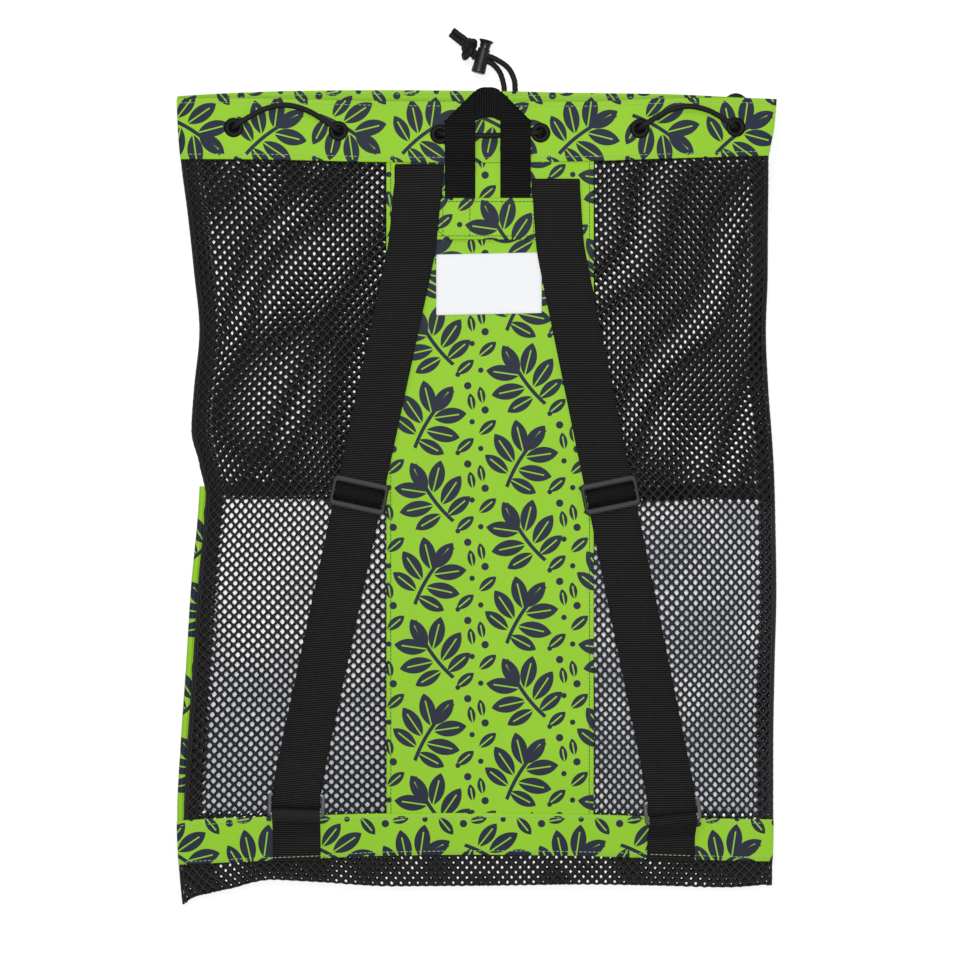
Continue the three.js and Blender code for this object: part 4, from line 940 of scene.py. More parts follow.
def lay_net(name, grid, width, length, pull=None, open_share=1.0, finish=NET_YARN, fold=None):
    """Net of that flat size on a grid; pull gives how far the mesh is drawn out of true.

    Where fold is a row of the grid, the holes of the two layers beside it lie nearly over each other.
    """
    rows, columns = grid.shape[:2]
    cells = net_cells(width, length)
    s = np.tile(np.linspace(0, 1, columns), (rows, 1))
    steps = np.linalg.norm(np.diff(grid, axis=0), axis=2)
    t = np.concatenate([np.zeros((1, columns)), np.cumsum(steps, axis=0)]) / steps.sum(axis=0)
    if fold is not None:
        turn = (round(2 * cells[1] * t[fold].mean()) + FOLD_OFFSET) / (2 * cells[1])
        t = np.where(np.arange(rows)[:, None] <= fold, t / t[fold] * turn,
                     mix(turn, 1, (t - t[fold]) / (1 - t[fold])))
    shares = np.stack([s, t], axis=2)
    if pull is not None:
        fade = np.clip(PULL_FADE * s * (1 - s), 0, 1) * np.clip(PULL_FADE * t * (1 - t), 0, 1)
        drawn = pull(grid[:, :, 0], grid[:, :, 1])
        shares = shares + np.stack([fade * drawn[0] / width, fade * drawn[1] / length], axis=2)
    piece = guide(name, grid, shares)
    across, along = width / cells[0], length / cells[1]
    unit = net_unit(across, along, open_share)
    run_tree(piece, LAYING, Unit=unit, Width=width * MM, Length=length * MM, Pitch_Across=across * MM,
             Pitch_Along=along * MM, Columns=cells[0], Rows=cells[1], Staggered=True, Weld=WELD,
             Finish=finish)
    bpy.data.objects.remove(unit)
    return close_rim(piece)


def soft_pull(seed, reach, wave=130):
    """Random drawing of a net."""
    fields = [ripples(seed + k, wave) for k in (0, 1)]
    return lambda x, y: [reach * field(x, y) for field in fields]


def streaked_pull(sides):
    """Drawing of the front net that lets its holes meet those of the back nets in slanting streaks."""
    count = net_cells(*FRONT_NET)
    slant = math.radians(STREAK["turn"])
    uneven, patches = (ripples(seed, STREAK["ripple"]) for seed in STREAK["seeds"])

    def value(x, y):
        s = (x - net_left(y) - EDGE_IN) / (right_edge(y) - net_left(y) - 2 * EDGE_IN)
        low = panel_head(x) - HEM["over"]
        t = (y - low) / (net_head(x) - low)
        drawn = []
        for left, right in sides:
            cells = net_cells(right(0.0) - left(0.0), BACK_LENGTH)
            off_x = (x - left(y)) / (right(y) - left(y)) * cells[0] - s * count[0]
            off_y = (y - net_foot(x)) / (net_head(x) - net_foot(x)) * cells[1] - t * count[1]
            over = (x > left(y)) & (x < right(y))
            drawn.append((off_x - round(off_x[over].mean()), off_y - round(off_y[over].mean())))
        share = np.clip((x - PANEL["left"]) / (PANEL["right"] - PANEL["left"]), 0, 1)
        match_x, match_y = (mix(a, b, share) for a, b in zip(*drawn))
        phase = TAU * (y * math.cos(slant) - x * math.sin(slant)) / STREAK["wave"]
        phase = phase + STREAK["uneven"] * uneven(x, y)
        along, patch = STREAK["reach"] * np.sin(phase), STREAK["patch"] * patches(x, y)
        return [(match_x + along + patch) * FRONT_NET[0] / count[0],
                (match_y + along - patch) * FRONT_NET[1] / count[1]]

    return value


# Sizes of the nets, how far their holes are open, and their share of yarn
NET_STEP, BACK_LENGTH, FRONT_NET, FOLD_OFFSET, PULL_FADE = 5, 552, (466, 286), 0.13, 30
OPEN = {"hem": 0.2, "front": 0.65, "front_hem": 0.4, "base": 0.64}
PULL = {"back": 0.8, "base": 0.55, "base_wave": 40}
STREAK = {"turn": 60, "wave": 160, "reach": 0.5, "uneven": 0.3, "patch": 0.15,
          "ripple": 150, "seeds": (11, 272)}
HEM = {"width": 17, "under": 0.9, "cord": 1.15, "second": 3.2, "lap": 14.5, "over": 1.5,
       "foot": -268, "head": 279, "steps": 150}
HEM_STRAND = {"radius": HEM["cord"], "sides": 8, "step": 3, "strands": 1.0, "lay": 4, "relief": 0.2}
FRONT_SPLIT = {"left": -2, "right": -6}
FRONT_FOOT = -256
BASE = {"lift": 0.1, "seam": 3, "round": 3.2, "end": -300, "width": 480, "column": 5, "border": (0.6, 2.8),
        "sag_at": (0, 0.04, 0.09, 0.15), "sag": (1.4, 3.8, 4.6, 0)}
net_head, net_foot = shifted(head_low, SEAM_LAP), shifted(foot_high, -SEAM_LAP)


def panel_head(x):
    return mix(FRONT_SPLIT["left"], FRONT_SPLIT["right"], x / BAG_WIDTH + 0.5)


def make_nets():
    sides = {
        "back_net_left": (net_left, steady(PANEL["left"] + SEAM_LAP), net_left, 1, 3),
        "back_net_right": (steady(PANEL["right"] - SEAM_LAP), right_edge, right_edge, -1, 5),
    }
    for name, (left, right, edge, inward, seed) in sides.items():
        grid = plan_grid(NET_STEP, left, right, net_foot, net_head, back_z)
        width = float(right(0.0) - left(0.0))
        net = lay_net(name, grid, width, BACK_LENGTH, soft_pull(seed, PULL["back"]))
        near, far = sorted((0, inward * HEM["width"]))
        shift = MESH["along"] / 2 if inward > 0 else 0
        grid = plan_grid(NET_STEP, shifted(edge, near), shifted(edge, far), shifted(net_foot, shift),
                         shifted(net_head, shift), shifted(back_z, -HEM["under"]))
        # The hem takes the darker net yarn, painted shade
        hem = lay_net("hem", grid, HEM["width"], BACK_LENGTH, open_share=OPEN["hem"], finish=SHADED_NET_YARN)
        y = np.linspace(HEM["foot"], HEM["head"], HEM["steps"])
        paths = []
        for inset, under in ((HEM["cord"], 0), (HEM["second"], HEM["under"])):
            x = edge(y) + inward * inset
            paths.append(np.column_stack([x, y, back_z(x, y) - under]))
        net = join(name, [net, hem, strand("strand", paths, HEM_STRAND, NET_YARN)])
        # Painted light on the net over the pale reverse
        set_shade(net, "lift", net_painted_light)
        finish_sheet(net, name)
    make_front_net([side[:2] for side in sides.values()])
    grid, length, fold = base_grid()
    pull = soft_pull(17, PULL["base"], PULL["base_wave"])
    net = lay_net("base_net", grid, BASE["width"], length, pull, OPEN["base"], fold=fold)
    paths = [mix(grid[fold:, end], grid[fold:, inner], inset / BASE["column"])
             for end, inner in ((0, 1), (-1, -2)) for inset in BASE["border"]]
    net = join("base_net", [net, strand("strand", paths, HEM_STRAND, NET_YARN)])
    finish_sheet(net, "base_net")


def make_front_net(sides):
    """Net of the lower side, with a doubled edge along the front panel."""
    across = shifted(net_left, EDGE_IN), shifted(right_edge, -EDGE_IN)
    foot = shifted(panel_head, -HEM["over"])
    grid = plan_grid(NET_STEP, *across, foot, net_head, front_z)
    # The front net takes the darker net yarn, painted shade under the back nets
    net = lay_net("front_net", grid, *FRONT_NET, streaked_pull(sides), OPEN["front"], SHADED_NET_YARN)
    grid = plan_grid(NET_STEP, *across, foot, shifted(panel_head, HEM["lap"]), shifted(front_z, HEM["under"]))
    hem = lay_net("hem", grid, FRONT_NET[0], HEM["over"] + HEM["lap"], None, OPEN["front_hem"], SHADED_NET_YARN)
    finish_sheet(join("front_net", [net, hem]), "front_net")


def base_grid(columns=97, turns=10):
    """Base net from the front panel round the foot fold to the bottom band."""
    sections = []
    for share in np.linspace(0, 1, columns):
        x = mix(-BAG_WIDTH / 2, BAG_WIDTH / 2, share)
        fold, low = float(fold_edge(x)) + NET / 2, NET / 2 + BASE["lift"]
        fold -= float(np.interp(share, BASE["sag_at"], BASE["sag"]))
        head = float(foot_high(x)) - SEAM_LAP - BASE["seam"]
        high = float(back_z(x, fold + BASE["round"]))
        middle, radius = (high + low) / 2, (high - low) / 2
        lap = BAND + 2 * GAP + NET / 2
        section = [(FRONT_FOOT + 1, lap), (FRONT_FOOT - BASE["seam"] / 2, lap),
                   (FRONT_FOOT - SEAM_LAP, low)]
        section += [(mix(FRONT_FOOT - SEAM_LAP, fold + BASE["round"], k), low) for k in (0.25, 0.5, 0.75)]
        flat_rows = len(section)
        for k in range(turns + 1):
            a = -math.pi / 2 - math.pi * k / turns
            section.append((fold + BASE["round"] * (1 + math.cos(a)), middle + radius * math.sin(a)))
        for k in (0.25, 0.5, 0.75, 1.0):
            y = mix(fold + BASE["round"], head, k)
            section.append((y, float(back_z(x, y))))
        row = []
        for y, z in section:
            left = net_left(y) + 2 * EDGE_IN if y > FRONT_FOOT - BASE["seam"] else left_edge(y) + EDGE_IN
            row.append((mix(left, right_edge(max(y, BASE["end"])) - EDGE_IN, share), y, z))
        sections.append(row)
    grid = np.array(sections, float).transpose(1, 0, 2)[:, ::-1]
    length = float(np.linalg.norm(np.diff(grid[:, columns // 2], axis=0), axis=1).sum())
    return grid, length, flat_rows + turns // 2


def enrol(piece, nodes, body=BODY):
    """Body that a piece rides on and the solids that it stands for."""
    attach(piece, body)
    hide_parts(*nodes)


def finish_sheet(piece, name):
    enrol(piece, [name])


CLOTH_STEP, LABEL_STEP = 4.5, 3.0
PRINT_SHIFT = {"bottom_band": (9, -4), "anchor_patch": (17, 9)}
BAND_EYELETS = {"top_band_back": (BACK_EYELETS, back_band_z), "top_band_front": (FRONT_EYELETS, front_band_z)}


# Painted shade on the inside of the front band: its darkest share and how far it fades out
MOUTH = {"dim": 0.6, "fade": 6}
# Painted light and shade on the coated reverse: its level at the middle height and its rise upwards, left and
# right
FADE = {"middle": -149, "left": -0.05, "left_rise": 0.007, "right": -0.33, "right_rise": 0.00125}
# Painted light on the back nets over the pale reverse: edge, fade and strength from left to right
LIFT = {"head": -4, "fade": 12, "least": 0.05, "more": 0.13, "span": 150}


def spots_of(piece):
    """Places of the points of a piece, in millimetres."""
    spots = np.empty(3 * len(piece.data.vertices))
    piece.data.vertices.foreach_get("co", spots)
    return spots.reshape(-1, 3) / MM


def set_shade(piece, name, shade):
    """Value at each point of a piece, from its place."""
    x, y, _ = spots_of(piece).T
    piece.data.attributes.new(name, "FLOAT", "POINT").data.foreach_set("value", shade(x, y))


def mouth_light(x, y):
    """Painted shade on the inside of the front band where the back band stands over it."""
    return mix(MOUTH["dim"], 1, np.clip((y - back_head(x)) / MOUTH["fade"], 0, 1))


def reverse_painted_light(x, y):
    """Painted light and shade on the coated reverse of the front panel, palest at the upper left."""
    up = y - FADE["middle"]
    return np.where(x < 0, FADE["left"] + FADE["left_rise"] * up, FADE["right"] + FADE["right_rise"] * up)


def net_painted_light(x, y):
    """Painted light on the net, for light thrown back by the pale reverse under it."""
    share = np.clip(x / LIFT["span"] + 0.5, 0, 1)
    return np.clip((LIFT["head"] - y) / LIFT["fade"], 0, 1) * (LIFT["least"] + LIFT["more"] * share)


def make_cloth():
    across = shifted(left_edge, EDGE_IN), shifted(right_edge, -EDGE_IN)
    panel, patch = ([steady(value) for value in size.values()] for size in (PANEL, PATCH))
    pieces = {
        "back_panel": (panel, shifted(back_z, OVER_NET), CLOTH, PANEL_PRINT),
        "top_band_back": ((*across, head_low, back_head), back_band_z, BAND, BAND_PRINT),
        "top_band_front": ((*across, head_low, front_head), front_band_z, BAND, BAND_PRINT),
        "bottom_band": ((*across, foot_low, foot_high), back_band_z, BAND, BAND_PRINT),
        "anchor_patch": (patch, shifted(back_z, PATCH_LEVEL), CLOTH, PANEL_PRINT),
    }
    for name, (edges, height, thickness, finish) in pieces.items():
        grid = plan_grid(CLOTH_STEP, *edges, height)
        inner = name == "top_band_front"
        piece = cloth_wall(name, grid, thickness, [SHADED_INNER_PRINT, finish] if inner else [finish],
                           grid[:, :, :2] + PRINT_SHIFT.get(name, 0), under=1 if inner else None)
        # Painted shade where the back band stands over the inside of the front band
        if inner:
            set_shade(piece, "mouth_light", mouth_light)
        if name in BAND_EYELETS:
            punch_eyelets(piece, eyelet_places(*BAND_EYELETS[name]))
        finish_sheet(piece, name)
    half_width, half_height = LABEL["width"] / 2, LABEL["height"] / 2
    rise = math.tan(math.radians(LABEL["tilt"]))
    grid = plan_grid(
        LABEL_STEP, steady(LABEL["x"] - half_width), steady(LABEL["x"] + half_width),
        lambda x: LABEL["y"] - half_height + (x - LABEL["x"]) * rise,
        lambda x: LABEL["y"] + half_height + (x - LABEL["x"]) * rise, shifted(back_z, LABEL_LEVEL))
    label = cloth_wall("name_label", grid, CLOTH, [LABEL_CLOTH])
    finish_sheet(label, "name_label")
    make_front_panel()


FRONT_PANEL = {"rows": 57, "columns": 100, "curl": 10, "print_from": 250, "length": 254,
               "lip": ((1.8, 2.3), (0.4, 1.5), (-1.4, 0.4))}


def make_front_panel():
    """Front panel on the floor, turned over the left edge of the back."""
    flat_z, rise, curl = BAND / 2, WRAP["radius"], FRONT_PANEL["curl"]
    grid = []
    for t in np.linspace(0, 1, FRONT_PANEL["rows"]):
        def y_at(x):
            return mix(FRONT_FOOT, panel_head(x), t)

        y = float(y_at(-BAG_WIDTH / 2)) + WRAP["point"] * (t ** 6 - (1 - t) ** 6)
        edge = float(left_edge(y)) + BAND / 2
        right = float(right_edge(y_at(BAG_WIDTH / 2))) - EDGE_IN
        row = [(edge + WRAP["width"] + ahead, y, flat_z + 2 * rise - drop)
               for ahead, drop in FRONT_PANEL["lip"]]
        for k in range(curl + 1):
            a = math.pi / 2 + math.pi * k / curl
            row.append((edge + rise + rise * math.cos(a), y, flat_z + rise + rise * math.sin(a)))
        for x in np.linspace(edge + rise, right, FRONT_PANEL["columns"])[1:]:
            row.append((x, float(y_at(x)), flat_z))
        grid.append(row)
    grid = np.array(grid, float)
    steps = np.linalg.norm(np.diff(grid, axis=1), axis=2)
    along = np.concatenate([np.zeros((len(grid), 1)), np.cumsum(steps, axis=1)], axis=1)
    flat = np.stack([along - FRONT_PANEL["print_from"], grid[:, :, 1]], axis=2)
    piece = cloth_wall("front_panel", grid, BAND, [REVERSE, PANEL_PRINT], flat, under=1)
    # Painted light and shade on the coated reverse
    set_shade(piece, "fade", reverse_painted_light)
    finish_sheet(piece, "front_panel")


# Webbing: a course of stations, with ribs laid across it
RIB = {"pitch": 1.85, "relief": 0.85, "rows": 4, "edge": 0.965, "sharp": 1.4}
HANDLE = {"left": -25.4, "right": 43.7, "foot": 209, "corner": 303.5, "over_cord": 10.5, "drop": 4, "ease": 7,
          "rise": (246, 262), "over": (281, 294), "bend": 0.55, "arch": 0.6, "pitch": 2.0, "columns": 17}
STRAPS = {
    "left": {"head_x": -45.2, "under_x": -46.7, "head_y": 266.4, "bend_x": -52, "ease_x": -142,
             "end_slope": 0.03, "fold_y": -246.5, "ring_y": -249.8, "tab_x": -145},
    "right": {"head_x": 63.4, "under_x": 64.2, "head_y": 254.5, "bend_x": 67.5, "ease_x": 153.1,
              "end_slope": -0.1, "fold_y": -252, "ring_y": -254.3, "tab_x": 157},
}
BEND_Y, SLIDER_Y, EASE_Y, RING_LIFT, STRAP_END_Y = 198, 0, -222, 1.8, -212
RUN_ABOVE, RUN_BELOW, RUN_BACK, BEND_EASE = (140, 100, 60), (-60, -100, -140, -180), (-170, -120, -70), 30
STATION = {"under": 2, "fold": 8, "above": 5, "below": 4, "down": 26, "ring": 9, "stop": 4}
# Tab: its rib colour over the ring bar is painted one even tone, a painted sheen
TAB = {"foot": -295.5, "bend_y": -277, "lap": 8.8, "lap_low": 0.1, "lap_high": 2.4, "lap_turn": 0.45,
       "lap_share": 0.4, "smooth": 4.6, "painted_sheen_and_shade": 0.6}
# Slider: the strap's rib colour in its window is painted one darker tone, a painted shade
SLIDER = {"width": 45.5, "length": 25.6, "thick": 4, "bar": 5.2, "side": 3.0, "middle": 2, "corner": 4,
          "ramp": 8.2, "crest": 2.7, "painted_sheen_and_shade": 0.25, "middle_in": 1.17, "middle_depth": 4.04}
RING = {"width": 46, "length": 19.6, "thick": 3, "bar": 3, "side": 3, "corner": 3.5, "slack": 0.8, "ahead": 1.2}
WINDOW_CORNER, SEAT_REACH = 1.4, 12
RING_BARS = RING["length"] - RING["bar"]
SLIDER_LEVEL = MAIN_LEVEL + STRAP_THICK / 2 + GAP + SLIDER["thick"] / 2
SLIDER_OVER = SLIDER_LEVEL - SLIDER["thick"] / 2 + SLIDER["middle"] + GAP + STRAP_THICK / 2
RING_TURN = math.hypot(RING["thick"], RING["bar"]) / 2 + GAP + STRAP_THICK / 2 + RING["slack"]
RING_REACH = RING_TURN + RING["ahead"]
RING_LEVEL = RETURN_LEVEL + RING_LIFT + RING_TURN


def rib_unit(width, thickness, pitch, columns):
    """One rib of a strip, thinner at both edges and in the grooves beside it."""
    points, rise = [], []
    edge = RIB["edge"]
    roll = [(-1, 0.3), *((across, 0.85 if abs(across) == edge else 1)
                         for across in np.linspace(-edge, edge, columns)), (1, 0.3)]
    ring = 2 * len(roll)
    for k in range(RIB["rows"] + 1):
        share = k / RIB["rows"] - 0.5
        crest = ((1 + math.cos(TAU * share)) / 2) ** RIB["sharp"]
        half = thickness / 2 - RIB["relief"] / 2 * (1 - crest)
        top = [(across * width / 2, share * pitch, half * part) for across, part in roll]
        points += top + [(x, y, -z) for x, y, z in reversed(top)]
        rise += [crest] * ring
    unit = new_piece("rib_unit", points, tube_faces(RIB["rows"] + 1, ring))
    # rib_rise, 1 on the crest and 0 in the groove, sets the painted shade of the grooves
    unit.data.attributes.new("rib_rise", "FLOAT", "POINT").data.foreach_set("value", rise)
    return unit


def close_up(piece):
    """Fill open ends, drop empty faces and turn the rest outwards."""
    shape = bmesh.new()
    shape.from_mesh(piece.data)
    bmesh.ops.dissolve_degenerate(shape, dist=EMPTY, edges=shape.edges)
    bmesh.ops.holes_fill(shape, edges=[edge for edge in shape.edges if edge.is_boundary], sides=0)
    bmesh.ops.recalc_face_normals(shape, faces=shape.faces)
    shape.to_mesh(piece.data)
    shape.free()
    return piece


def dense_steps(at, step):
    """Places along a course that keep every station and lie no further apart than step."""
    parts = [np.linspace(a, b, max(3, math.ceil((b - a) / step)), endpoint=False) for a, b in zip(at, at[1:])]
    return np.append(np.concatenate(parts), at[-1])


def strip_grid(rows, columns, step=1.8):
    """Grid over a strip from rows of both edges and a level: ax, ay, bx, by, level over the back."""
    rows = np.array(rows, float)
    middle = np.column_stack([(rows[:, 0] + rows[:, 2]) / 2, (rows[:, 1] + rows[:, 3]) / 2, rows[:, 4]])
    at = np.append(0, np.cumsum(np.linalg.norm(np.diff(middle, axis=0), axis=1)))
    steps = dense_steps(at, step)
    ax, ay, bx, by, level = (smooth_through(at, rows[:, k])(steps)[:, None] for k in range(5))
    share = np.linspace(0, 1, columns)[None]
    x, y = mix(ax, bx, share), mix(ay, by, share)
    return np.stack([x, y, back_z(x, np.minimum(y, CORD_HEAD)) + level], axis=2)


def webbing(name, rows, width=STRAP_WIDTH, thickness=STRAP_THICK, pitch=RIB["pitch"], finish=STRAP_YARN,
            columns=5, bar=None):
    """Strip of webbing; over a bar its rib colour is set to one even tone of painted sheen and shade, given as
    place, direction, reach and tone.
    """
    grid = strip_grid(rows, columns + 2)
    edges = np.linalg.norm(np.diff(grid[:, [0, -1]], axis=0), axis=2)
    along = np.concatenate([np.zeros((1, 2)), np.cumsum(edges, axis=0)])
    length = float(along[-1].mean())
    along = along / along[-1]
    share = np.linspace(0, 1, grid.shape[1])
    shares = np.stack([np.broadcast_to(share, grid.shape[:2]),
                       mix(along[:, :1], along[:, 1:], share[None])], axis=2)
    unit = rib_unit(width, thickness, pitch, columns)
    count = round(length / pitch)
    piece = guide(name, grid, shares)
    run_tree(piece, LAYING, Unit=unit, Width=width * MM, Length=count * pitch * MM,
             Pitch_Across=width * MM, Pitch_Along=pitch * MM, Columns=1, Rows=count, Staggered=False,
             Weld=WELD, Finish=finish)
    bpy.data.objects.remove(unit)
    close_up(piece)
    # Painted sheen and shade: one even rib colour over the bar
    if bar is not None:
        place, direction, reach, painted_sheen_and_shade = bar
        near = np.abs((spots_of(piece)[:, :2] - place) @ direction) < reach
        rise = piece.data.attributes["rib_rise"].data
        for k in np.flatnonzero(near):
            rise[k].value = painted_sheen_and_shade
    finish_sheet(piece, name)


def handle_rows():
    """Handle from one hidden end up, across with a mitred fold at each corner, and down to the other."""
    run = BAND_TOP + GAP + HANDLE_THICK / 2
    corner, half = run + HANDLE_THICK + GAP, run + (HANDLE_THICK + GAP) / 2
    legs = ((HANDLE["foot"], UNDER_HANDLE), (HANDLE["rise"][0], UNDER_HANDLE), (HANDLE["rise"][1], run + 0.5),
            *((y, HANDLE["over_cord"]) for y in HANDLE["over"]),
            (HANDLE["corner"] - HANDLE["drop"] - 0.5, corner + 1))
    low, top = HANDLE["corner"], HANDLE["corner"] + HANDLE_WIDTH
    bend = HANDLE_THICK * HANDLE["bend"]
    left, right = HANDLE["left"], HANDLE["right"]
    left_in, right_in = left + HANDLE_WIDTH, right - HANDLE_WIDTH

    def mitre(outer, inner, push, level):
        out = low - HANDLE["drop"] + abs(push)
        return (outer + push, out, inner + push, out + HANDLE_WIDTH, level)

    rows = [(left, y, left_in, y, level) for y, level in legs]
    rows += [mitre(left, left_in, push, level) for push, level in ((0, corner), (-bend, half), (0, run))]
    arch, ease = HANDLE["drop"] * HANDLE["arch"], HANDLE["ease"]
    course = ((left_in + 0.5, arch), (left_in + ease, 0), (right_in - ease, 0), (right_in - 0.5, arch))
    rows += [(x, low - fall, x, top - fall, run) for x, fall in course]
    rows += [mitre(right, right_in, push, level) for push, level in ((0, run), (bend, half), (0, corner))]
    return rows + [(right, y, right_in, y, level) for y, level in reversed(legs)]


def unit_vector(x, y):
    return np.array([x, y]) / math.hypot(x, y)


def strap_plan(strap):
    """Directions of a strap's run and end, and its middle line and heading along the bag."""
    run = unit_vector(strap["ease_x"] - strap["bend_x"], EASE_Y - BEND_Y)
    head = unit_vector(strap["bend_x"] - strap["head_x"], BEND_Y - strap["head_y"])
    end = unit_vector(-strap["end_slope"], -1)
    slope, span = run[0] / run[1], EASE_Y - strap["fold_y"]

    def middle(y):
        if y > BEND_Y:
            return mix(strap["bend_x"], strap["head_x"], (y - BEND_Y) / (strap["head_y"] - BEND_Y))
        bow = max(0, EASE_Y - y) ** 2 / (2 * span)
        return strap["bend_x"] + slope * (y - BEND_Y) - (strap["end_slope"] - slope) * bow

    def heading(y):
        if y < EASE_Y:
            return unit_vector(*mix(run, end, min((EASE_Y - y) / span, 1)))
        return unit_vector(*mix(head, run, min(max((BEND_Y + BEND_EASE - y) / (2 * BEND_EASE), 0), 1)))

    return run, end, middle, heading


def ring_centre(strap, shift):
    _, end, middle, _ = strap_plan(strap)
    down = (strap["fold_y"] - strap["ring_y"]) / -end[1] + shift
    return middle(strap["fold_y"]) + end[0] * down, strap["fold_y"] + end[1] * down


def strap_row(x, y, level, along):
    """Both edges of a strap that runs along a direction in plan."""
    side = np.array([-along[1], along[0]]) * STRAP_WIDTH / 2
    return (x - side[0], y - side[1], x + side[0], y + side[1], level)


def strap_rows(strap):
    """Strap from under the patch, over its head and the slider, round the ring and back under itself."""
    run, end, middle, heading = strap_plan(strap)
    up = (0, 1)
    radius = (OVER_PATCH - UNDER_STRAP) / 2
    fold_y = strap["head_y"] - radius - STRAP_THICK / 2
    rows = [strap_row(strap["under_x"], y, UNDER_STRAP, up)
            for y in (PATCH["foot"] + STATION["under"], fold_y - STATION["fold"])]
    for k in range(5):
        turn = -math.pi / 2 + math.pi * k / 4
        level = (UNDER_STRAP + OVER_PATCH) / 2 + radius * math.sin(turn)
        x = mix(strap["under_x"], strap["head_x"], k / 4)
        rows.append(strap_row(x, fold_y + radius * math.cos(turn), level, up))

    def reach(distance):
        return SLIDER_Y + distance * run[1]

    course = [(PATCH["head"] + STATION["above"], OVER_PATCH), (PATCH["foot"] - STATION["below"], OVER_PATCH),
              (PATCH["foot"] - STATION["down"], MAIN_LEVEL)]
    course += [(y, MAIN_LEVEL) for y in (*RUN_ABOVE, reach(-SLIDER["length"]), reach(-SLIDER["ramp"]))]
    course += [(reach(-SLIDER["crest"]), SLIDER_OVER), (reach(SLIDER["crest"]), SLIDER_OVER)]
    course += [(y, MAIN_LEVEL) for y in (reach(SLIDER["ramp"]), reach(SLIDER["length"]))]
    course += [(y, MAIN_LEVEL) for y in (*RUN_BELOW, STRAP_END_Y)]
    course.append((strap["fold_y"] + STATION["ring"], RING_LEVEL + RING_TURN))
    rows += [strap_row(middle(y), y, level, -heading(y)) for y, level in course]
    for k in range(7):
        turn = math.pi / 2 - math.pi * k / 6
        x = middle(strap["fold_y"]) + end[0] * RING_REACH * math.cos(turn)
        y = strap["fold_y"] + end[1] * RING_REACH * math.cos(turn)
        rows.append(strap_row(x, y, RING_LEVEL + RING_TURN * math.sin(turn), -end))
    back = (STRAP_END_Y, *RUN_BACK, reach(SLIDER["length"]), reach(STATION["stop"]))
    return rows + [strap_row(middle(y), y, RETURN_LEVEL, -run) for y in back]


def tab_rows(strap):
    """Tab from the bottom band round the ring and back."""
    end = strap_plan(strap)[1]
    bar_x, bar_y = ring_centre(strap, RING_BARS / 2)
    up, lean = np.array([0, 1]), -end
    between = unit_vector(*mix(up, lean, TAB["lap_turn"]))
    lap_x, lap_y = mix(strap["tab_x"], bar_x, TAB["lap_share"]), bar_y - TAB["lap"]
    rows = [strap_row(strap["tab_x"], y, TAB_UNDER, up) for y in (TAB["foot"], TAB["bend_y"])]
    rows.append(strap_row(lap_x, lap_y, TAB_UNDER + TAB["lap_low"], between))
    for k in range(7):
        turn = -math.pi / 2 + math.pi * k / 6
        reach = -RING_REACH * math.cos(turn)
        rows.append(strap_row(bar_x + end[0] * reach, bar_y + end[1] * reach,
                              RING_LEVEL + RING_TURN * math.sin(turn), lean))
    rows.append(strap_row(lap_x, lap_y, TAB_OVER + TAB["lap_high"], between))
    return rows + [strap_row(strap["tab_x"], y, TAB_OVER, up) for y in (TAB["bend_y"], TAB["foot"])]


def make_webbing():
    webbing("handle", handle_rows(), HANDLE_WIDTH, HANDLE_THICK, HANDLE["pitch"], HANDLE_YARN,
            HANDLE["columns"])
    for side, strap in STRAPS.items():
        run, end, middle, _ = strap_plan(strap)
        # Painted shade on the strap in the slider window, and a painted sheen on the left tab over the ring bar
        bar = np.array([middle(SLIDER_Y), SLIDER_Y]), run, SLIDER["ramp"], SLIDER["painted_sheen_and_shade"]
        webbing(f"shoulder_strap_{side}", strap_rows(strap), bar=bar)
        bar = np.array(ring_centre(strap, RING_BARS / 2)), end, TAB["smooth"], TAB["painted_sheen_and_shade"]
        webbing(f"strap_tab_{side}", tab_rows(strap), bar=bar if side == "left" else None)


# Hardware: rounded frames, eyelets and the cord lock
SECTION, SQUARENESS = 16, 0.28
SHARP = {"frame": 40, "eyelet": 50, "lock": 35}


def rounded_outline(width, length, radius, steps=6):
    points = []
    for k in range(4):
        cx = (width / 2 - radius) * (1 if k in (0, 3) else -1)
        cy = (length / 2 - radius) * (1 if k < 2 else -1)
        for i in range(steps + 1):
            a = math.pi / 2 * (k + i / steps)
            points.append((cx + radius * math.cos(a), cy + radius * math.sin(a)))
    return np.array(points)


def swept_ring(outer, inner, thick):
    """Closed ring between two outlines, with a rounded section."""
    points = []
    for o, n in zip(outer, inner):
        for turn in circle(SECTION):
            u, v = (math.copysign(abs(part) ** SQUARENESS, part) for part in turn)
            x, y = (o + n) / 2 + (o - n) / 2 * u
            points.append((x, y, v * thick / 2))
    return np.array(points), ring_faces(len(outer), SECTION)


def strap_frame(size):
    outer = rounded_outline(size["width"], size["length"], size["corner"])
    inner = rounded_outline(size["width"] - 2 * size["side"], size["length"] - 2 * size["bar"], WINDOW_CORNER)
    return swept_ring(outer, inner, size["thick"])


def seat(x, y, level, turn):
    """Place and axes of hardware that lies across a strap."""
    reach = STRAP_WIDTH / 2
    dx, dy = reach * math.cos(turn), reach * math.sin(turn)
    across = np.array([2 * dx, 2 * dy, float(back_z(x + dx, y + dy) - back_z(x - dx, y - dy))])
    ux, uy = -SEAT_REACH * math.sin(turn), SEAT_REACH * math.cos(turn)
    along = np.array([ux, uy, float(back_z(x + ux, y + uy) - back_z(x - ux, y - uy)) / 2])
    across /= np.linalg.norm(across)
    normal = np.cross(across, along)
    normal /= np.linalg.norm(normal)
    middle = (back_z(x + dx, y + dy) + back_z(x - dx, y - dy)) / 2 + level
    return np.array([x, y, float(middle)]), np.array([across, np.cross(normal, across), normal])


def placed(points, at):
    origin, axes = at
    return origin + np.asarray(points, float) @ axes


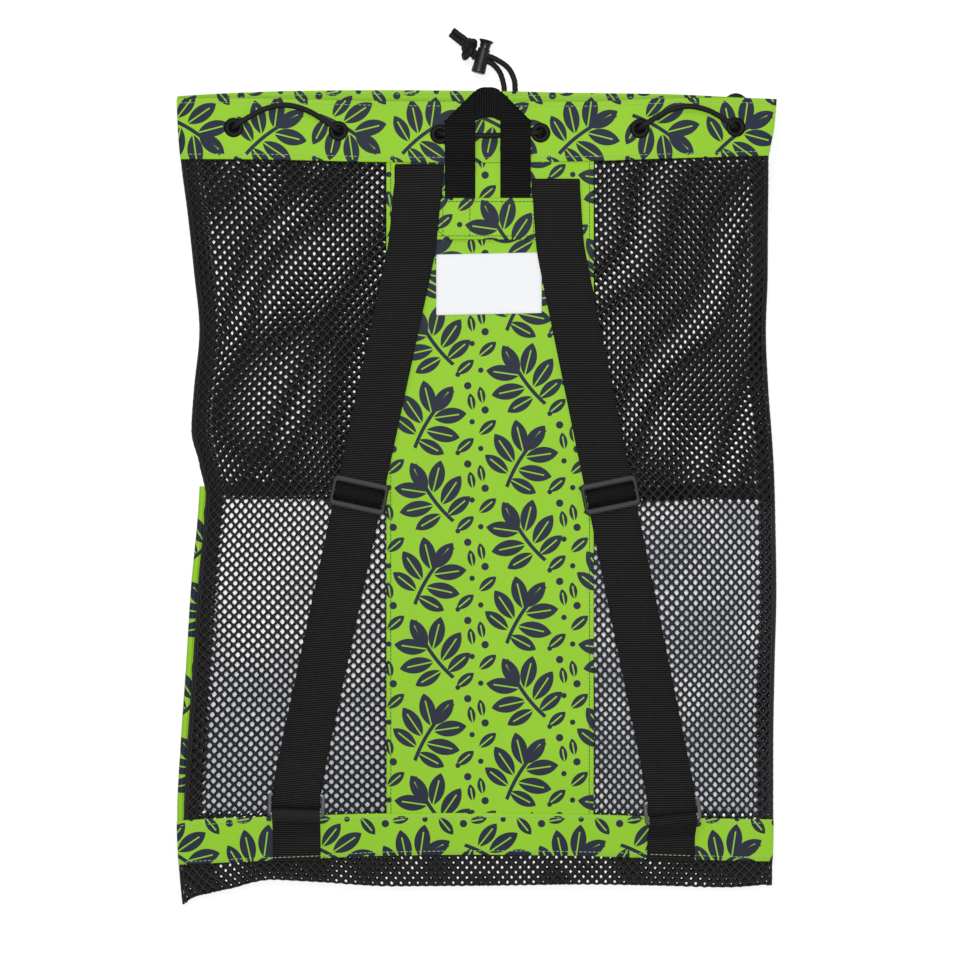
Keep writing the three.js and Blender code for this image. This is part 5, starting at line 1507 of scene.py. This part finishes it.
def combine(piece, other, operation):
    """Boolean with another piece, which is used up."""
    cut = piece.modifiers.new("combine", "BOOLEAN")
    cut.operation, cut.object, cut.solver = operation, other, "EXACT"
    settle(piece)
    bpy.data.objects.remove(other)


def sharp_smooth(piece, angle):
    """Smooth shading, but for edges sharper than an angle."""
    piece.data.polygons.foreach_set("use_smooth", np.ones(len(piece.data.polygons), dtype=bool))
    piece.data.set_sharp_from_angle(angle=math.radians(angle))


def rounded_bar(name, width, depth, thick, at, drop):
    """Bar along X of rounded section, at a drop from the middle of its frame."""
    section = circle(SECTION, depth / 2, thick / 2)
    points = [(x, y, drop + z) for x in (-width / 2, width / 2) for y, z in section]
    return close_up(new_piece(name, placed(points, at), rod_faces(2, SECTION), materials=[PLASTIC]))


def make_hardware():
    bar_width = SLIDER["width"] - SLIDER["middle_in"] * SLIDER["side"]
    drop = (SLIDER["middle"] - SLIDER["thick"]) / 2
    for side, strap in STRAPS.items():
        run, end, middle, _ = strap_plan(strap)
        slider_at = seat(middle(SLIDER_Y), SLIDER_Y, SLIDER_LEVEL, math.atan2(run[0], -run[1]))
        ring_at = seat(*ring_centre(strap, 0), RING_LEVEL, math.atan2(end[0], -end[1]))
        for name, size, at, finish in (("slider", SLIDER, slider_at, PLASTIC),
                                       ("ring", RING, ring_at, RING_PLASTIC)):
            points, faces = strap_frame(size)
            piece = close_up(new_piece(f"{name}_{side}", placed(points, at), faces, materials=[finish]))
            if size is SLIDER:
                bar = rounded_bar("bar", bar_width, SLIDER["middle_depth"], SLIDER["middle"], at, drop)
                combine(piece, bar, "UNION")
            sharp_smooth(piece, SHARP["frame"])
            enrol(piece, [f"{name}_{side}"])
    make_eyelets()
    make_lock()


EYELET = {"hole": 3.0, "sleeve": 5.9, "flange": 7.9, "lip": 1.1, "play": 0.3, "sides": 40, "span": 6}
PUNCH = {"radius": 6.6, "sides": 24, "reach": 4}


def lathe(profile, sides):
    """Turned shape about Z from radius and height."""
    points = [(r * x, r * y, z) for x, y in circle(sides) for r, z in profile]
    return points, ring_faces(sides, len(profile))


def eyelet_profile():
    """Rolled rims on both faces of the band, falling to a narrow throat."""
    lip = BAND / 2 + EYELET["play"]
    hole, flange, lift = EYELET["hole"], EYELET["flange"], EYELET["lip"]
    rim = [(hole, 0.25), (hole + 0.2, 0.7), (hole + 0.75, lip + 0.3 * lift), (hole + 1.6, lip + 0.75 * lift),
           (flange - 2.3, lip + lift), (flange - 1.3, lip + 0.92 * lift), (flange - 0.45, lip + 0.55 * lift),
           (flange, lip), (flange - 0.3, lip - 0.1), (EYELET["sleeve"], lip - 0.1)]
    return rim + [(r, -z) for r, z in reversed(rim)]


def band_frame(x, y, height):
    span = EYELET["span"]
    slope_x = float(height(x + span, y) - height(x - span, y)) / (2 * span)
    slope_y = float(height(x, y + span) - height(x, y - span)) / (2 * span)
    normal = np.array([-slope_x, -slope_y, 1.0])
    normal /= np.linalg.norm(normal)
    across = np.cross((0, 1, 0), normal)
    across /= np.linalg.norm(across)
    return np.array([x, y, float(height(x, y))]), np.array([across, np.cross(normal, across), normal])


def eyelet_places(rows, height):
    return [band_frame(x, y, height) for x, y in zip(rows["x"], rows["y"])]


def repeated(points, faces, places):
    """Points and faces of one shape, set at several places."""
    count = len(points)
    moved = [point for at in places for point in placed(points, at)]
    return moved, [tuple(k * count + i for i in face) for k in range(len(places)) for face in faces]


def punch_eyelets(band, places):
    """Cut the eyelet holes in a band."""
    sides, reach = PUNCH["sides"], PUNCH["reach"]
    rod = [(x, y, z) for z in (-reach, reach) for x, y in circle(sides, PUNCH["radius"], PUNCH["radius"])]
    points, faces = repeated(rod, rod_faces(2, sides), places)
    combine(band, new_piece("punch", points, faces), "DIFFERENCE")


def make_eyelets():
    places, nodes = [], []
    for side, (rows, height, _) in WALLS.items():
        places += eyelet_places(rows, height)
        nodes += [f"eyelet_{side}_{k + 1}" for k in range(len(rows["x"]))]
    points, faces = repeated(*lathe(eyelet_profile(), EYELET["sides"]), places)
    piece = close_up(new_piece("eyelets", points, faces, materials=[LACQUER]))
    sharp_smooth(piece, SHARP["eyelet"])
    enrol(piece, nodes)


LOCK = {"x": 1.1, "y": 341.5, "z": 6.4, "lean": 15, "radius": 5.3, "foot": 5.7, "head": 4.9, "length": 20.5}
LOCK_HOLE = {"y": 13, "length": 9.4, "height": 5, "corner": 1.6, "reach": 12}
PLUNGER = {"radius": 3.5, "foot": 6.4, "flange": 6, "flange_y": 25.3, "flange_thick": 2.2, "press": 4}
POLE = 0.01
LEAN = math.radians(LOCK["lean"])
LOCK_AXIS = np.array([math.sin(LEAN), math.cos(LEAN), 0])
LOCK_SIDE = np.array([math.cos(LEAN), -math.sin(LEAN), 0])
LOCK_MIDDLE = np.array([LOCK["x"], LOCK["y"], LOCK["z"]])


def in_lock(across, along, z=None):
    spot = LOCK_MIDDLE + across * LOCK_SIDE + along * LOCK_AXIS
    if z is not None:
        spot[2] = z
    return spot


def lock_piece(name, profile, sides=48):
    """Turned part of the lock, from radius and place along its axis."""
    points, faces = lathe(profile, sides)
    axes = np.array([LOCK_SIDE, (0, 0, 1), LOCK_AXIS])
    return close_up(new_piece(name, placed(points, (LOCK_MIDDLE, axes)), faces, materials=[LOCK_PLASTIC]))


def lock_slot(length, along):
    outline = rounded_outline(length, LOCK_HOLE["height"], LOCK_HOLE["corner"])
    reach = LOCK_HOLE["reach"]
    points = [in_lock(across, along + v) + (0, 0, w) for across in (-reach, reach) for v, w in outline]
    return close_up(new_piece("slot", points, rod_faces(2, len(outline))))


def make_lock():
    wide, slim, end, bore = LOCK["foot"], LOCK["head"], LOCK["length"], PLUNGER["radius"] + GAP
    barrel = [(POLE, 0), (wide - 1.1, 0), (wide - 0.4, 0.3), (wide, 1.0), (wide, 2.6),
              (mix(wide, slim, 0.35), 7), (mix(wide, slim, 0.8), 13), (slim, end - 1.2),
              (slim - 0.1, end - 0.3), (slim - 0.2, end), (bore + 0.75, end), (bore + 0.75, end - 4.4),
              (bore, end - 4.7), (bore, 2), (POLE, 2)]
    foot, rim, head = PLUNGER["foot"], PLUNGER["flange"], PLUNGER["flange_y"]
    stem, top = PLUNGER["radius"], PLUNGER["flange_y"] + PLUNGER["flange_thick"]
    plunger = [(POLE, foot), (stem - 0.3, foot), (stem, foot + 0.4), (stem, head - 5.1),
               (stem + 0.7, head - 4.7), (stem + 0.9, head - 0.65), (rim - 0.9, head + 0.5),
               (rim - 0.2, head + 1.1), (rim, head + 1.5), (rim - 0.2, top - 0.2), (rim - 0.6, top),
               (rim - 1.3, top - 0.35), (POLE, top - 0.8)]
    for name, profile, press, body in (("cord_lock_barrel", barrel, 0, BODY),
                                       ("cord_lock_plunger", plunger, PLUNGER["press"], "plunger")):
        piece = lock_piece(name, profile)
        combine(piece, lock_slot(LOCK_HOLE["length"] + press, LOCK_HOLE["y"] + press / 2), "DIFFERENCE")
        sharp_smooth(piece, SHARP["lock"])
        enrol(piece, [name], body)


# Cord: braided strand along a smooth path
CORD = 4
CORD_REACH = 0.45 + 0.7 + 0.4 + CORD / 2 + 0.1
CORD_HEAD = 316
BRAID = {"radius": 2.2, "sides": 16, "step": 0.8, "strands": 4.0, "lay": 7.0, "relief": 0.16}


def rounded_path(points, per=8):
    """Smooth curve through points, evenly bent between them."""
    points = np.asarray(points, float)
    padded = np.concatenate([[2 * points[0] - points[1]], points, [2 * points[-1] - points[-2]]])
    curve = []
    for p0, p1, p2, p3 in zip(padded, padded[1:], padded[2:], padded[3:]):
        steps = [math.sqrt(np.linalg.norm(b - a)) for a, b in ((p0, p1), (p1, p2), (p2, p3))]
        t0, t1, t2, t3 = np.append(0, np.cumsum(steps))
        for t in np.linspace(t1, t2, per, endpoint=False):
            a1, a2, a3 = (mix(a, b, (t - u) / (v - u))
                          for a, b, u, v in ((p0, p1, t0, t1), (p1, p2, t1, t2), (p2, p3, t2, t3)))
            b1, b2 = mix(a1, a2, (t - t0) / (t2 - t0)), mix(a2, a3, (t - t1) / (t3 - t1))
            curve.append(mix(b1, b2, (t - t1) / (t2 - t1)))
    return np.array(curve + [points[-1]])


# Course of the held drawcord: wall, eyelets from and to, outside or inside, arch or slack loop
SLACK = ((216.5, 303), (219, 313), (216, 320.8), (210, 323.4), (204, 320.8), (200, 314), (192, 305),
         (175, 300.5), (150, 297.5))
RUNS = (
    ("front", 2, 1, False, -4), ("front", 1, 0, True, 10), ("back", 0, 1, True, 19),
    ("back", 1, 2, False, -5), ("back", 2, 3, True, -2), ("back", 3, 4, False, -5),
    ("back", 4, 5, True, 17), ("front", 5, 4, True, SLACK), ("front", 4, 3, False, -4),
)
SIDE_TURNS = {
    1: {"x": -212, "in_x": -222, "low": 284, "middle": 290, "high": 299},
    6: {"x": 219, "in_x": 227, "low": 285, "middle": 291, "high": 299},
}
WALLS = {"back": (BACK_EYELETS, back_band_z, 1), "front": (FRONT_EYELETS, front_band_z, -1)}
ENTRY = ((0.8, 0.38), (2.5, 0.95), (9, 1.08))
MID_RUN = 1.04


def arch_course(a, b, arch):
    length = abs(b[0] - a[0])
    course = [(ahead / length, level) for ahead, level in ENTRY]
    course += [(share, MID_RUN) for share in (0.3, 0.5, 0.7)]
    course += [(1 - ahead / length, level) for ahead, level in reversed(ENTRY)]
    return [(mix(a[0], b[0], share), mix(a[1], b[1], share) + arch * math.sin(math.pi * share), level)
            for share, level in course]


def slack_course(a, b, loop):
    def leave(eyelet, way):
        away = [ahead / math.dist(eyelet, way) for ahead, _ in ENTRY[:2]]
        return [(mix(eyelet[0], way[0], share), mix(eyelet[1], way[1], share), level)
                for share, (_, level) in zip(away, ENTRY)]

    return leave(a, loop[0]) + [(x, y, MID_RUN) for x, y in loop] + leave(b, loop[-1])[::-1]


def drawcord_points():
    points = []
    inside = BAND / 2 + CORD_REACH
    for index, (wall, start, stop, out, arch) in enumerate(RUNS):
        eyelets, height, outward = WALLS[wall]
        a, b = ((float(eyelets["x"][k]), float(eyelets["y"][k])) for k in (start, stop))
        side = (outward if out else -outward) * inside
        if index:
            points.append((*a, float(height(*a))))
        for x, y, level in slack_course(a, b, arch) if arch is SLACK else arch_course(a, b, arch):
            points.append((x, y, float(height(x, min(y, CORD_HEAD))) + side * level))
        if index in SIDE_TURNS:
            points.append((*b, float(height(*b))))
            points += side_turn(SIDE_TURNS[index], wall, stop, inside)
    return points


def side_turn(turn, wall, stop, inside):
    """Cord round the side seam, from one wall to the other."""
    def near(eyelets, k, y, height, sign):
        at = np.array([eyelets["x"][k], eyelets["y"][k], 0])
        at[2] = float(height(at[0], at[1]))
        heading = np.append(unit_vector(turn["x"] - at[0], y - at[1]), 0)
        return [tuple(at + (0, 0, sign * inside * level) + heading * ahead) for ahead, level in ENTRY[:2]]

    low = float(front_band_z(turn["x"], turn["low"])) + inside
    high = float(back_band_z(turn["x"], turn["high"])) - inside
    front, back = (stop, 0) if wall == "front" else (5, stop)
    legs = near(FRONT_EYELETS, front, turn["low"], front_band_z, 1)
    legs += [(turn["x"], turn["low"], low), (turn["in_x"], turn["middle"], (low + high) / 2),
             (turn["x"], turn["high"], high)]
    legs += near(BACK_EYELETS, back, turn["high"], back_band_z, -1)[::-1]
    return legs if wall == "front" else legs[::-1]


TAILS = {
    "left": (2, -2.2, ((18.4, 305, 2.4), (22.5, 326.4, 2.3), (21.4, 335.3, 2.7), (18.2, 343.4, 4.2))),
    "right": (3, 2.2, ((38.6, 305, 2.4), (31.6, 326.4, 2.3), (30.7, 336, 2.7), (25.6, 346, 4.2))),
}
TAIL_EXIT = ((0, 0.2), (0.9, -1.4), (3.2, -3.7))
KNOT = {"across": -12.4, "along": 17.8, "high": 6.0, "wide": 1.12, "long": 2.35, "rise": 2.6,
        "apart": (0.9, 1.3, 0.6), "steps": 73, "entry": 0.3, "end": 0.55}
TAIL_SEAT = -LOCK["radius"] - 0.1
TAIL_INSIDE = (8, 3, TAIL_SEAT)
ENDS = (((-17.4, 19.4, 5), (-29.8, 25.0, 2.9)), ((-15.9, 23.3, 5), (-28.4, 28.9, 2.9)))


def tail_points(number, seat_along, route):
    x, y = float(FRONT_EYELETS["x"][number]), float(FRONT_EYELETS["y"][number])
    z = float(front_band_z(x, y))
    points = [(x, y + ahead, z + rise) for ahead, rise in TAIL_EXIT] + list(route)
    return points + [in_lock(across, LOCK_HOLE["y"] + seat_along) for across in TAIL_INSIDE]


def knot_paths():
    """Overhand knot of the pair, with both tails in and both ends out."""
    middle = in_lock(KNOT["across"], KNOT["along"], KNOT["high"])
    apart = KNOT["apart"]
    paths = []
    for shift in (-1, 1):
        loop = []
        for t in np.linspace(0, TAU, KNOT["steps"]):
            across = (math.sin(t) + 2 * math.sin(2 * t)) * KNOT["wide"] + apart[0] * shift
            along = (math.cos(t) - 2 * math.cos(2 * t)) * KNOT["long"] + apart[1] * shift
            up = -math.sin(3 * t) * KNOT["rise"] + apart[2] * shift
            loop.append(middle + across * LOCK_SIDE + along * LOCK_AXIS + np.array([0, 0, up]))
        paths.append(np.array(loop))
    for (_, seat_along, _), (start, stop) in zip(TAILS.values(), ENDS):
        entry = in_lock(TAIL_SEAT, LOCK_HOLE["y"] + seat_along)
        start, stop = in_lock(*start), in_lock(*stop)
        paths.append(rounded_path(
            [entry, mix(middle, start, KNOT["entry"]), start, mix(start, stop, KNOT["end"]), stop]))
    return paths


def make_cords():
    path = rounded_path(drawcord_points())
    held = strand("drawcord", [path], BRAID, CORD_YARN)
    finish_cord(held, "drawcord")
    knot = strand("drawcord_knot", knot_paths(), BRAID, CORD_YARN)
    enrol(knot, ["drawcord_knot", "drawcord_end_left", "drawcord_end_right"])
    for side, (number, seat_along, route) in TAILS.items():
        path = rounded_path(tail_points(number, seat_along, route))
        tail = strand(f"drawcord_tail_{side}", [path], BRAID, CORD_YARN)
        finish_cord(tail, f"drawcord_tail_{side}")


def finish_cord(piece, name):
    enrol(piece, [name])


# Stitches along the seams
STITCH_SIZE = {"length": 2.7, "width": 0.62, "height": 0.42, "pitch": 3.7, "sides": 6, "patch_pitch": 3.1}
SEW_LIFT, SEW_LEFT, SEW_RIGHT = 0.1, -238, 236
# Insets of the stitches in the panel and patch, and the patch's inner rows
PANEL_SEAM = {"side": 3, "foot": 12, "head": 8}
PATCH_SEAM = {"end": 1, "edge": 2.4, "side": 3, "rows": (-27, -5.3, 20.6, 46)}


def stitch_unit():
    sides = STITCH_SIZE["sides"]
    stations = ((-0.5, 0.25), (-0.4, 0.8), (0, 1), (0.4, 0.8), (0.5, 0.25))
    points = [(along * STITCH_SIZE["length"], y, z) for along, swell in stations
              for y, z in circle(sides, swell * STITCH_SIZE["width"] / 2, swell * STITCH_SIZE["height"])]
    return close_up(new_piece("stitch_unit", points, rod_faces(len(stations), sides)))


def stitch_tree():
    """Stitches in even steps along rows."""
    tree, start, end = new_group(
        "stitch_rows", "GeometryNodeTree",
        [("Rows", "Geometry"), ("Unit", "Object"), ("Pitch", "Float"), ("Finish", "Material")],
        [("Piece", "Geometry")])
    given = start.outputs
    line = output(tree, "GeometryNodeMeshToCurve", {0: given["Rows"]})
    spots = node(tree, "GeometryNodeCurveToPoints", {
        "Curve": line, "Length": given["Pitch"]}, mode="LENGTH").outputs
    facing = output(tree, "FunctionNodeAxesToRotation", {
        "Primary Axis": spots["Tangent"], "Secondary Axis": (0, 0, 1)}, primary_axis="X", secondary_axis="Z")
    unit = node(tree, "GeometryNodeObjectInfo", {"Object": given["Unit"]}).outputs["Geometry"]
    sewn = output(tree, "GeometryNodeInstanceOnPoints", {
        "Points": spots["Points"], "Instance": unit, "Rotation": facing})
    real = output(tree, "GeometryNodeRealizeInstances", {0: sewn})
    return end_tree(tree, end, real, given["Finish"])


STITCHING = stitch_tree()
STITCH = stitch_unit()


def row_across(left, right, place, height, count=120):
    x = np.linspace(left, right, count)
    y = place(x)
    return np.column_stack([x, y, height(x, y)])


def row_between(start, stop, height, count=40):
    x, y = np.linspace(start[0], stop[0], count), np.linspace(start[1], stop[1], count)
    return np.column_stack([x, y, height(x, y)])


def sew(name, rows, finish, pitch=STITCH_SIZE["pitch"]):
    piece = run_tree(path_piece(name, rows), STITCHING, Unit=STITCH, Pitch=pitch * MM, Finish=finish)
    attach(piece, BODY)


def make_stitches():
    def on_foot(x, y):
        """Bottom band, and the strap tabs that are sewn over it."""
        tab = TAB_OVER + STRAP_THICK / 2
        level = BAND_TOP + 0 * x
        for strap in STRAPS.values():
            level = np.where(np.abs(x - strap["tab_x"]) < STRAP_WIDTH / 2, tab, level)
        return back_z(x, y) + level + SEW_LIFT

    on_band, in_front = (shifted(height, BAND / 2 + SEW_LIFT) for height in (back_band_z, front_band_z))
    on_panel = shifted(back_z, PANEL_TOP + SEW_LIFT)
    on_patch = shifted(back_z, PATCH_LEVEL + CLOTH / 2 + SEW_LIFT)
    rows = ((head_low, 3.4, on_band, 0), (back_head, -3.2, on_band, 0), (foot_high, -2.6, on_band, 0),
            (foot_low, 2.8, on_foot, 0), (front_head, -2.6, in_front, 4))
    light = [row_across(SEW_LEFT + short, SEW_RIGHT - short, shifted(edge, inset), height)
             for edge, inset, height, short in rows]
    sew("light_stitches", light, LIGHT_THREAD)
    dark = [row_between((x, PANEL["foot"] + PANEL_SEAM["foot"]), (x, PANEL["head"] - PANEL_SEAM["head"]),
                        on_panel, 300)
            for x in (PANEL["left"] + PANEL_SEAM["side"], PANEL["right"] - PANEL_SEAM["side"])]
    ends = PATCH["left"] + PATCH_SEAM["end"], PATCH["right"] - PATCH_SEAM["end"]
    dark += [row_between((ends[0], y), (ends[1], y), on_patch)
             for y in (PATCH["foot"] + PATCH_SEAM["edge"], PATCH["head"] - PATCH_SEAM["edge"])]
    left, right = PATCH["left"] + PATCH_SEAM["side"], PATCH["right"] - PATCH_SEAM["side"]
    foot, head = PATCH["foot"] + PATCH_SEAM["side"], PATCH["head"] - PATCH_SEAM["side"]
    dark += [row_between((x, foot), (x, head), on_patch) for x in (left, *PATCH_SEAM["rows"], right)]
    for a, b in ((left, PATCH_SEAM["rows"][0]), (PATCH_SEAM["rows"][-1], right)):
        dark += [row_between((a, low), (b, high), on_patch) for low, high in ((foot, head), (head, foot))]
    sew("dark_stitches", dark, DARK_THREAD, STITCH_SIZE["patch_pitch"])


set_camera()
set_lights()
set_floor()
make_nets()
make_cloth()
make_webbing()
make_hardware()
make_cords()
make_stitches()

bpy.data.objects.remove(STITCH)
